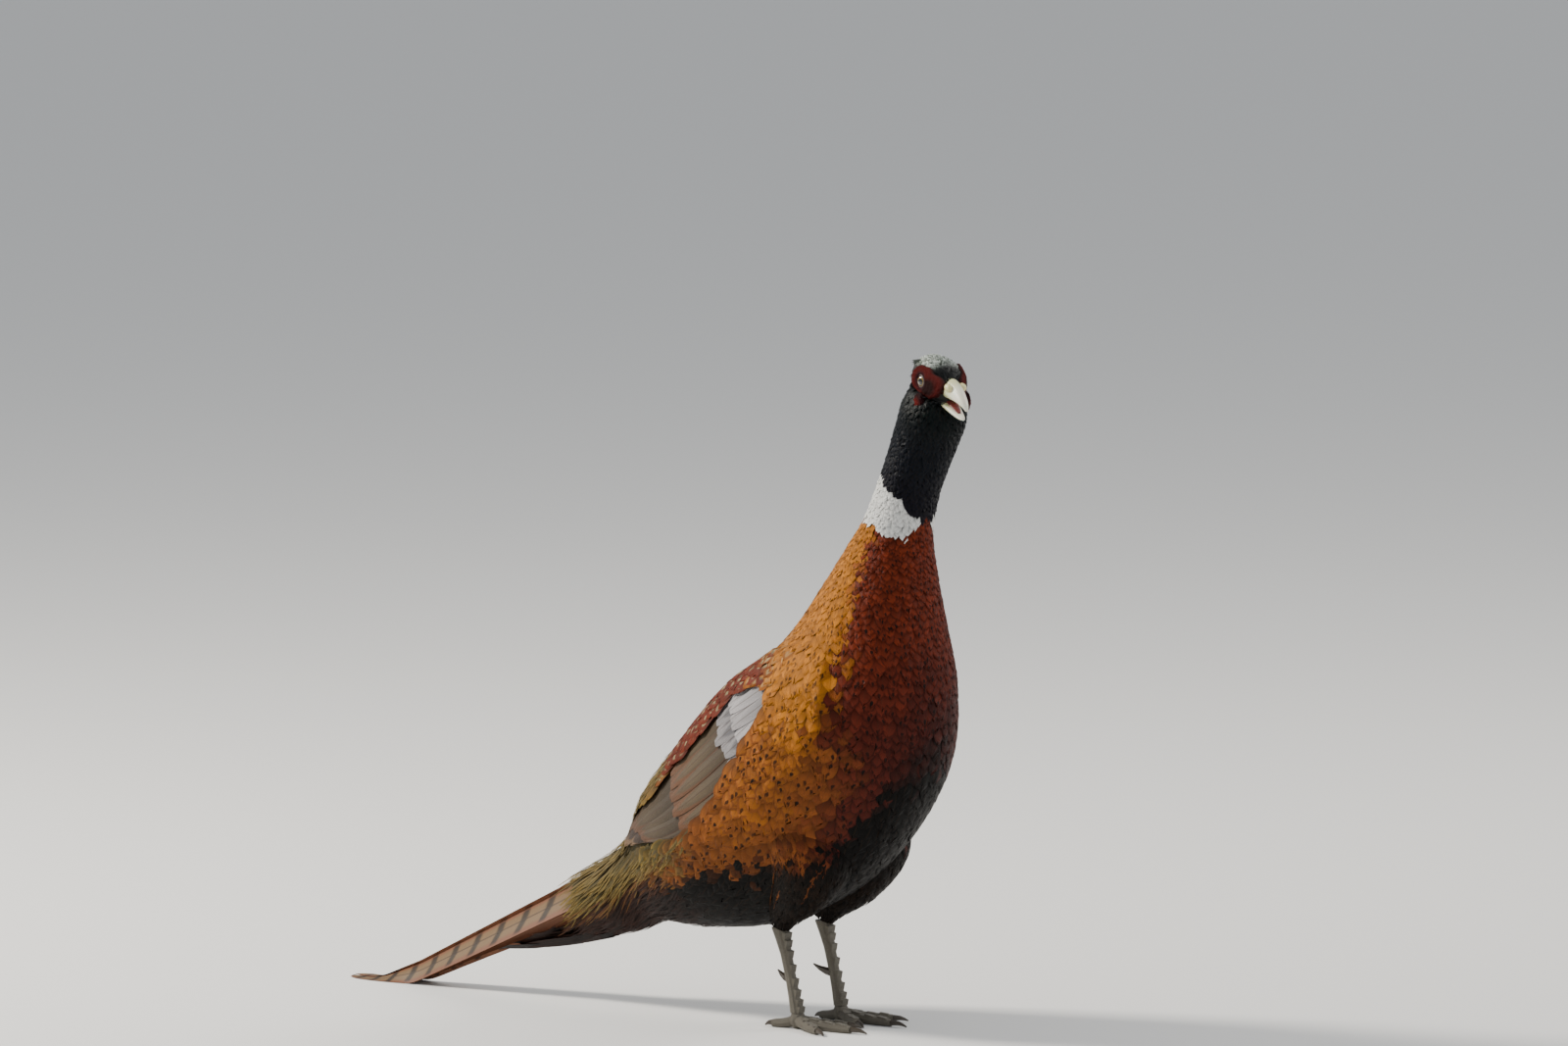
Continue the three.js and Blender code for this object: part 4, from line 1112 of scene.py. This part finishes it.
# Wings. Tiers, back to front: feathers, width, how far they lie off the trunk, roots and tips of the first
# and the last feather as shares along and across the folded wing, colours, fringe width and pale heart.
WING_TIERS = (
    (7, 15, 0.6, ((0.68, 0.3), (1.0, 0.2)), ((0.64, 0.82), (0.88, 0.98)), UMBER, BUFF * 0.7, 0.1, 0.0),
    (14, 15, 1.2, ((0.42, 0.1), (0.93, 0.16)), ((0.46, 0.9), (0.78, 0.96)), TERTIAL, TERTIAL_EDGE, 0.14, 0.3),
    (13, 14, 1.7, ((0.26, 0.1), (0.64, 0.12)), ((0.28, 0.9), (0.6, 0.94)), TERTIAL * 1.25, TERTIAL_EDGE * 1.2,
     0.14, 0.3),
    (12, 14, 2.2, ((0.18, 0.1), (0.43, 0.11)), ((0.22, 0.9), (0.41, 0.93)), SLATE * 0.8, GREY * 0.8,
     0.25, 0.0),
    (12, 13, 2.8, ((0.06, 0.12), (0.36, 0.11)), ((0.1, 0.9), (0.38, 0.92)), GREY, GREY * 1.15, 0.2, 0.0))


def wing_place(s, v, side, lift):
    """A place on the folded wing, s along it from the shoulder and v from the upper edge to the lower."""
    row = spline(WING, s)
    station = row[..., 0] * (1 - v) + row[..., 2] * v
    degrees = row[..., 1] * (1 - v) + row[..., 3] * v
    return trunk(station, side * np.radians(degrees), lift)


def wing_rise(s, v):
    """How far the folded wing bulges off the trunk, most along its middle."""
    return spline(WING, s)[..., 4] * (0.3 + 0.7 * np.sqrt(np.sin(math.pi * np.clip(v, 0, 1))))


def strip_place(coat, across, down):
    """The next free strip of the bake map for a long feather, on a sheet of across by down strips."""
    count = sum(len(groups) for groups in coat.grids.values())
    return np.array([[(count % across + 0.5) / across, (count // across + 0.5) / down]])


def wing_coat(name, side):
    """The folded wing's long feathers and coverts, each laid over the one behind."""
    rng = np.random.default_rng(21)
    coat = Coat(f"wing_coat_{name}")
    rows, columns = 22, 9
    t, w = np.linspace(0, 1, rows), np.linspace(-1, 1, columns)
    run = t[:, None]
    for count, width, layer, first, last, tint, fringe, edge, heart in WING_TIERS:
        for i in range(count):
            share = i / (count - 1)
            root, tip = (np.array(first[k]) * (1 - share) + np.array(last[k]) * share for k in (0, 1))
            root = root + rng.normal(0, 0.006, 2)
            tip = tip + rng.normal(0, 0.008, 2)
            s, v = (root[k] + (tip[k] - root[k]) * run for k in (0, 1))
            low, high = wing_place(s, v + 0.02, side, 0), wing_place(s, v - 0.02, side, 0)
            per_v = np.linalg.norm(low - high, axis=-1) / 0.04
            half = width / 2 * round_outline(t * 0.97)[:, None]
            vw = np.clip(v + w * half / np.maximum(per_v, 8), 0.05, 0.96)
            base = wing_rise(np.minimum(s, 0.86), np.clip(v, 0.08, 0.92)) * np.ones_like(w)
            height = (base + (layer + 0.9 * (i % 2)) * (0.35 + 0.65 * run) - 2.2 * (1 - run) ** 2
                      - 0.5 * w ** 2 + rng.normal(0, 0.1))
            points = wing_place(s * np.ones_like(w), vw, side, height)
            shade = rng.uniform(0.88, 1.1)
            marking = ((tint * shade)[None], (fringe * shade)[None], lace_of(1, edge, 0.0, heart))
            coat.add(points[None], marking, strip_place(coat, 12, 6), rows, columns, t, w)
    piece = coat.build(wing_plumage, "wing_feathers", strip=(0.07, 0.13))
    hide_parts(f"wing_{name}")


# Tail
def tail_coat():
    """Nine pairs of barred feathers, roofed over one another and flattening towards the floor."""
    rng = np.random.default_rng(31)
    coat = Coat("tail_coat")
    rows, columns = 60, 9
    t, w = np.linspace(0, 1, rows), np.linspace(-1, 1, columns)
    flat = np.zeros(rows)
    for pair, end in enumerate(TAIL_ENDS):
        for _, side in SIDES:
            x = TAIL_ROOT_X + (end - TAIL_ROOT_X) * (1 - (1 - t) ** 1.3)
            ridge = np.interp(x, TAIL_RIDGE[::-1, 0], TAIL_RIDGE[::-1, 1])
            roof = ROOF_SLOPE * between(x, TAIL_TIP_X, TAIL_FLAT_X)
            point = np.sqrt(1 - (np.clip(t - 0.86, 0, 1) / 0.14) ** 2 * 0.97)
            half = (TAIL_HALF - pair * 0.5) * (1 - 0.62 * t ** 1.3) * point
            across = np.stack([flat, side * np.cos(roof), -np.sin(roof)], -1)
            up = np.stack([flat, side * np.sin(roof), np.cos(roof)], -1)
            shift = half * (0.94 if pair or side < 0 else 0.8) + pair * TAIL_FAN * (1 - 0.6 * t)
            top = ridge - pair * TAIL_STEP + (0.5 if side > 0 else 0)
            centre = np.stack([x, np.full(rows, side * 0.3), top], -1) + across * shift[:, None]
            points = (centre[:, None] + across[:, None] * (half[:, None] * w)[..., None]
                      - up[:, None] * (0.05 * half[:, None] * w ** 2)[..., None])
            points[..., 2] = np.maximum(points[..., 2], 0.35 + 0.1 * pair)
            length = abs(end - TAIL_ROOT_X) * 1.12
            shade = rng.uniform(0.9, 1.08)
            coat.add(points[None], ((TAIL_BUFF * shade)[None], (TAIL_FRINGE * shade)[None],
                                    lace_of(1, length / TAIL_LENGTH_SCALE)),
                     strip_place(coat, 18, 1), rows, columns, t, w)
    piece = coat.build(tail_surface, "tail_feathers", strip=(0.045, 0.9))
    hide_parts("tail")


def undertail_coat():
    """Long soft dark coverts that fill the space under the root of the tail."""
    rng = np.random.default_rng(32)
    coat = Coat("undertail_coat")
    rows, columns = 12, 5
    t, w = np.linspace(0, 1, rows)[:, None], np.linspace(-1, 1, columns)[None]
    for _ in range(240):
        deep = rng.uniform(0, 1)
        x0, y0 = rng.uniform(-225, -160), rng.uniform(-1, 1) * 15
        z0 = np.interp(x0, (-225, -160), (66, 74)) + 8 * deep
        length = rng.uniform(60, 92)
        x = x0 - length * t
        low = np.interp(x, (-320, -270, -220, -160), (34, 39, 48, 62)) + 15 * deep + rng.normal(0, 1)
        z = z0 + (low - z0) * np.clip(t * 2.5, 0, 1)
        y = y0 * (1 - 0.35 * t ** 2)
        half = rng.uniform(3.0, 5.0) * round_outline(t * 0.96) * w
        roll = np.clip(y0 / 16, -1, 1) * 0.9
        y, z = y + half * math.cos(roll), z + half * math.sin(roll)
        points = np.stack(np.broadcast_arrays(x, y, z), -1)
        tint = blend(VENT[None], BLACK, np.array([rng.uniform(0, 0.8)]))
        coat.add(points[None], (tint, tint * 2.0, lace_of(1, 0.2)),
                 np.array([[0.5 + y0 / 60, 0.1 + (x0 + 225) / 90]]), rows, columns, t[:, 0], w[0])
    coat.build(rump_plumage, "rump_feathers")


# Head: bill, mouth, face skin and eyes
def bill_section(table, ridge):
    """A round along the bill, drawn to a ridge at the top (+) or a keel below (-)."""
    def section(t, angle):
        row = spline(table, t)
        c = np.cos(angle)
        middle = (row[..., 1] + row[..., 2]) / 2
        return from_head(np.stack([row[..., 0], row[..., 3] * np.sin(angle) * (1 - ridge * c),
                                   middle + (row[..., 1] - row[..., 2]) / 2 * c], -1))
    return section


def local_points(piece):
    """A piece's points in the head's own frame."""
    return in_head(to_bird(mesh_points(piece.data)))


def tile_of(colour, like):
    """One colour for each of some values."""
    return np.tile(colour, like.shape + (1,))


def bill():
    """Ivory at the tip, greener yellow at the root; the tongue lies between the halves."""
    for half, table, ridge in (("upper", UPPER_BILL, UPPER_RIDGE), ("lower", LOWER_BILL, LOWER_KEEL)):
        piece = tube_piece(f"bill_{half}_horn", bill_section(table, ridge), 48, 40)
        root = 1 - between(local_points(piece)[:, 0], 26, 38)
        paint(piece, "Tint", blend(tile_of(IVORY, root), HORN_ROOT, root * 0.8))
        finish_piece(piece, horn_surface, "bill_horn", f"bill_{half}")
    tongue = tube_piece("tongue_skin_form", bill_section(TONGUE, 0.0), 24, 20)
    finish_piece(tongue, tongue_surface, "tongue_skin", "tongue")


def ball(name, centre, radii, steps=28, around=36, dents=lambda unit: 0.0):
    """A rounded bulb in the head's frame, with an optional small unevenness."""
    theta, phi = np.meshgrid(np.linspace(0.001, math.pi - 0.001, steps), ring_of(around), indexing="ij")
    unit = np.stack([np.sin(theta) * np.cos(phi), np.cos(theta), np.sin(theta) * np.sin(phi)], -1)
    swell = np.broadcast_to(1 + dents(unit), theta.shape)[..., None]
    points = np.asarray(centre) + unit * np.asarray(radii) * swell
    return mesh_object(name, from_head(points), grid_faces(1, steps, around, wrap=True))


def nostril_and_eye(name, side):
    """The horny cover over a nostril, and an eyeball with its pupil, iris and dark edge."""
    cover = ball(f"nostril_cover_{name}", NOSTRIL_CENTRE * (1, side, 1), NOSTRIL_RADII)
    paint(cover, "Tint", NOSTRIL_HORN)
    finish_piece(cover, horn_surface, "bill_horn")
    # the eye looks out along its own side, a little forward
    centre = EYE_PLACE * (1, side, 1)
    eye = ball(f"eyeball_{name}", centre, (EYE_RADIUS,) * 3, 60, 72)
    gaze = np.array([0.36, side, 0.02]) / math.hypot(0.36, 1, 0.02)
    off = np.degrees(np.arccos(np.clip((local_points(eye) - centre) @ gaze / EYE_RADIUS, -1, 1)))
    iris = blend(tile_of(IRIS, off), IRIS_RIM, between(off, 32, 46))
    colours = blend(tile_of(PUPIL, off), iris, between(off, 25, 28))
    paint(eye, "Tint", blend(colours, EYE_EDGE, between(off, 46, 50)))
    finish_piece(eye, eye_surface, "eye", f"eye_{name}")


def face_edge(theta):
    """How far from the eye the bare face reaches in each direction, with its corners eased."""
    edge = np.concatenate([WATTLE_EDGE, WATTLE_EDGE[:1]]) - EYE_PLACE[[0, 2]]
    share, fine = np.linspace(0, 1, len(edge)), np.linspace(0, 1, 400)
    loop_theta = np.interp(fine, share, np.unwrap(np.arctan2(edge[:, 1], edge[:, 0]))) % math.tau
    loop_far = np.interp(fine, share, np.hypot(edge[:, 0], edge[:, 1]))
    order = np.argsort(loop_theta)
    far = np.interp(theta, loop_theta[order], loop_far[order], period=math.tau)
    return (far + np.roll(far, 1) + np.roll(far, -1)) / 3


def blot(across, along):
    """A soft patch, 1 in its middle and fading at a distance of one."""
    return np.exp(-(across ** 2 + along ** 2) ** 2)


def wattle(name, side):
    """The bare face: a thick beaded skin from the bill round the eye, and down to the jaw. It is painted near
    black before the eye, as shade in the hollow between the eye and the bill, and violet round the lids."""
    rng = np.random.default_rng(41)
    around, rings = 96, 26
    theta = ring_of(around)
    r = np.linspace(0, 1, rings)[:, None]
    radius = FACE_START + (face_edge(theta) - FACE_START) * r
    x = EYE_PLACE[0] + radius * np.cos(theta)
    z = EYE_PLACE[2] + radius * np.sin(theta)
    eye_far = np.hypot(x - EYE_PLACE[0], z - EYE_PLACE[2])
    middle, tall, wide = (np.interp(x, SKULL[:, 0], SKULL[:, k]) for k in (1, 2, 3))
    q = np.clip((z - middle) / (tall + 0.5), -0.985, 0.985)
    out = np.sqrt(1 - q ** 2)
    rise = 2.0 * np.clip((1 - r) / 0.14, 0, 1) ** 0.5 * between(r, -0.3, 0.32)
    rise = rise - 1.0 * (1 - between(r, 0, 0.22))
    folds = np.sin(eye_far * 2.6 + 0.8 * np.sin(np.arctan2(z, x) * 5 + rng.uniform(0, 6)))
    bumps = 0.34 * np.sin(x * 2.9 + 0.7 * z) * np.sin(z * 3.3 - 0.5 * x) + 0.16 * folds
    rise = rise + bumps * np.clip(r * 5, 0, 1) * np.clip((1 - r) * 8, 0, 1) - 0.6 * (r > 0.97)
    points = np.stack([x, side * (wide * out + rise * out), z + rise * q], -1)
    piece = mesh_object(f"face_skin_{name}", from_head(points), grid_faces(1, rings, around, wrap=True))
    # painted shade: the hollow between the eye and the bill is darkened to near black
    lore_shade = blot((x - 13.8) / 6.2, (z + 3.4) / 5.8)
    tint = blend(tile_of(FACE_RED, x), LORE_SHADE, np.clip(lore_shade * 1.4, 0, 1))
    tint = blend(tint, LID_VIOLET, (1 - between(eye_far, 5.2, 8.0)) * 0.9)
    tint = blend(tint, CHEEK_VIOLET, between(-z, 8.5, 12.5) * between(12 - x, 0, 5) * 0.9)
    tint = blend(tint, FACE_EDGE, between(r, 0.8, 0.97) * np.ones_like(x) * 0.9)
    paint(piece, "Tint", tint.reshape(-1, 3))
    finish_piece(piece, wattle_surface, "wattle_skin", f"wattle_{name}")


def lobe_dents(unit):
    """The throat lobe's pebbled skin."""
    x, y, z = np.moveaxis(unit, -1, 0)
    return 0.05 * np.sin(x * 21 + 1) * np.sin(z * 23) + 0.04 * np.sin(y * 17 + z * 9)


def throat_lobe(name, side):
    """The red lobe that hangs at the corner of the throat, with painted shade darkening it round its rim."""
    lobe = ball(f"throat_lobe_{name}", LOBE_CENTRE * (1, side, 1), LOBE_RADII, 36, 48, lobe_dents)
    x, _, z = local_points(lobe).T
    # painted shade: the lobe darkens from its red middle towards its rim, where its round turns from the
    # light
    core = blot((x - 10.0) / 4.6, (z + 18.4) / 5.4)
    paint(lobe, "Tint", blend(tile_of(LOBE_RIM_SHADE, core), LOBE_RED, np.clip(core * 1.2, 0, 1)))
    finish_piece(lobe, wattle_surface, "wattle_skin")


def eyelid(name, side):
    """The rim of the lids, a slightly pointed oval round the eye."""
    phi, theta = np.meshgrid(ring_of(64), ring_of(12), indexing="ij")
    across, tall = (half + LID_THICKNESS * np.cos(theta) for half in LID_OPENING)
    x = EYE_PLACE[0] + across * np.cos(phi)
    z = EYE_PLACE[2] + tall * np.sin(phi)
    y = side * (LID_OUT + LID_THICKNESS * np.sin(theta) - 0.02 * (x - EYE_PLACE[0]) ** 2)
    points = np.stack([x, y, z], -1)
    points = np.concatenate([points, points[:1]])
    lid = mesh_object(f"eyelid_{name}", from_head(points), grid_faces(1, 65, 12, wrap=True))
    finish_piece(lid, lid_surface, "wattle_skin")


# Floor, light and camera
LAMPS = (("key_softbox", -62, 2.3, 2.4, 0.7, 165, (1.0, 0.95, 0.86)),
         ("fill_softbox", 70, 1.4, 2.8, 2.2, 12, (0.9, 0.94, 1.0)),
         ("rim_softbox", 150, 2.2, 2.6, 1.2, 46, (1.0, 0.96, 0.9)))


def stage():
    """A pale floor, soft daylight all round, and three lamps that look at the bird's middle."""
    bpy.ops.mesh.primitive_plane_add(size=60, location=(0, 0, 0))
    floor = bpy.context.object
    floor.name = "pale_floor"
    floor_paint, _ = material("matt_pale_floor", Roughness=0.9, Base_Color=(0.78, 0.77, 0.75, 1))
    floor.data.materials.append(floor_paint)
    world = bpy.data.worlds.new("soft_room")
    bpy.context.scene.world = world
    world.use_nodes = True
    sky, strength = world.node_tree.nodes["Background"].inputs[:2]
    sky.default_value, strength.default_value = (0.86, 0.9, 0.95, 1), 0.6
    for name, azimuth, height, distance, size, watts, colour in LAMPS:
        light = bpy.data.lights.new(name, "AREA")
        light.energy, light.size, light.color = watts, size, colour
        lamp = bpy.data.objects.new(name, light)
        bpy.context.scene.collection.objects.link(lamp)
        azimuth = math.radians(azimuth)
        lamp.location = (distance * math.sin(azimuth), -distance * math.cos(azimuth), height)
        lamp.rotation_euler = (Vector((0, 0, 0.25)) - lamp.location).to_track_quat("-Z", "Y").to_euler()


def photo_camera():
    """The photo's framing: far off with a long lens, 38 degrees round from the bird's right and 6 above."""
    c, s = math.cos(PHOTO_AZIMUTH), math.sin(PHOTO_AZIMUTH)
    flat = math.cos(PHOTO_ELEVATION)
    away = Vector((s * flat, -c * flat, math.sin(PHOTO_ELEVATION)))
    right = Vector((c, s, 0))
    across, down = ((middle - pixel) * PHOTO_PIXEL for middle, pixel in zip(PHOTO_MIDDLE, FEET_PIXEL))
    target = Vector(to_world(np.zeros(3))) + right * across - away.cross(right) * down
    lens = bpy.data.cameras.new("photo_lens")
    lens.sensor_width = FILM_WIDTH
    lens.lens = FILM_WIDTH * CAMERA_FAR / (PHOTO_WIDTH * PHOTO_PIXEL)
    lens.clip_end = 100
    camera = bpy.data.objects.new("photo_camera", lens)
    bpy.context.scene.collection.objects.link(camera)
    camera.location = target + away * CAMERA_FAR
    camera.rotation_euler = away.to_track_quat("Z", "Y").to_euler()
    bpy.context.scene.camera = camera


skin = build_skin()
for make_coat in (body_coat, rump_coat, neck_coat, head_coat, nape_coat, thigh_coat):
    make_coat()
for name, side in SIDES:
    wing_coat(name, side)
undertail_coat()
tail_coat()
bill()
for name, side in SIDES:
    nostril_and_eye(name, side)
for name, side in SIDES:
    wattle(name, side)
    throat_lobe(name, side)
    eyelid(name, side)

# Legs and claws keep their solids
LEG_SURFACES = ((scale_surface, ("shank", "foot")),
                (claw_surface, ("spur", "claw_inner", "claw_middle", "claw_outer", "claw_hind")))
for name, _ in SIDES:
    for surface, parts in LEG_SURFACES:
        for part in parts:
            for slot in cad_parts[f"{part}_{name}"].material_slots:
                slot.material = surface

stage()
photo_camera()
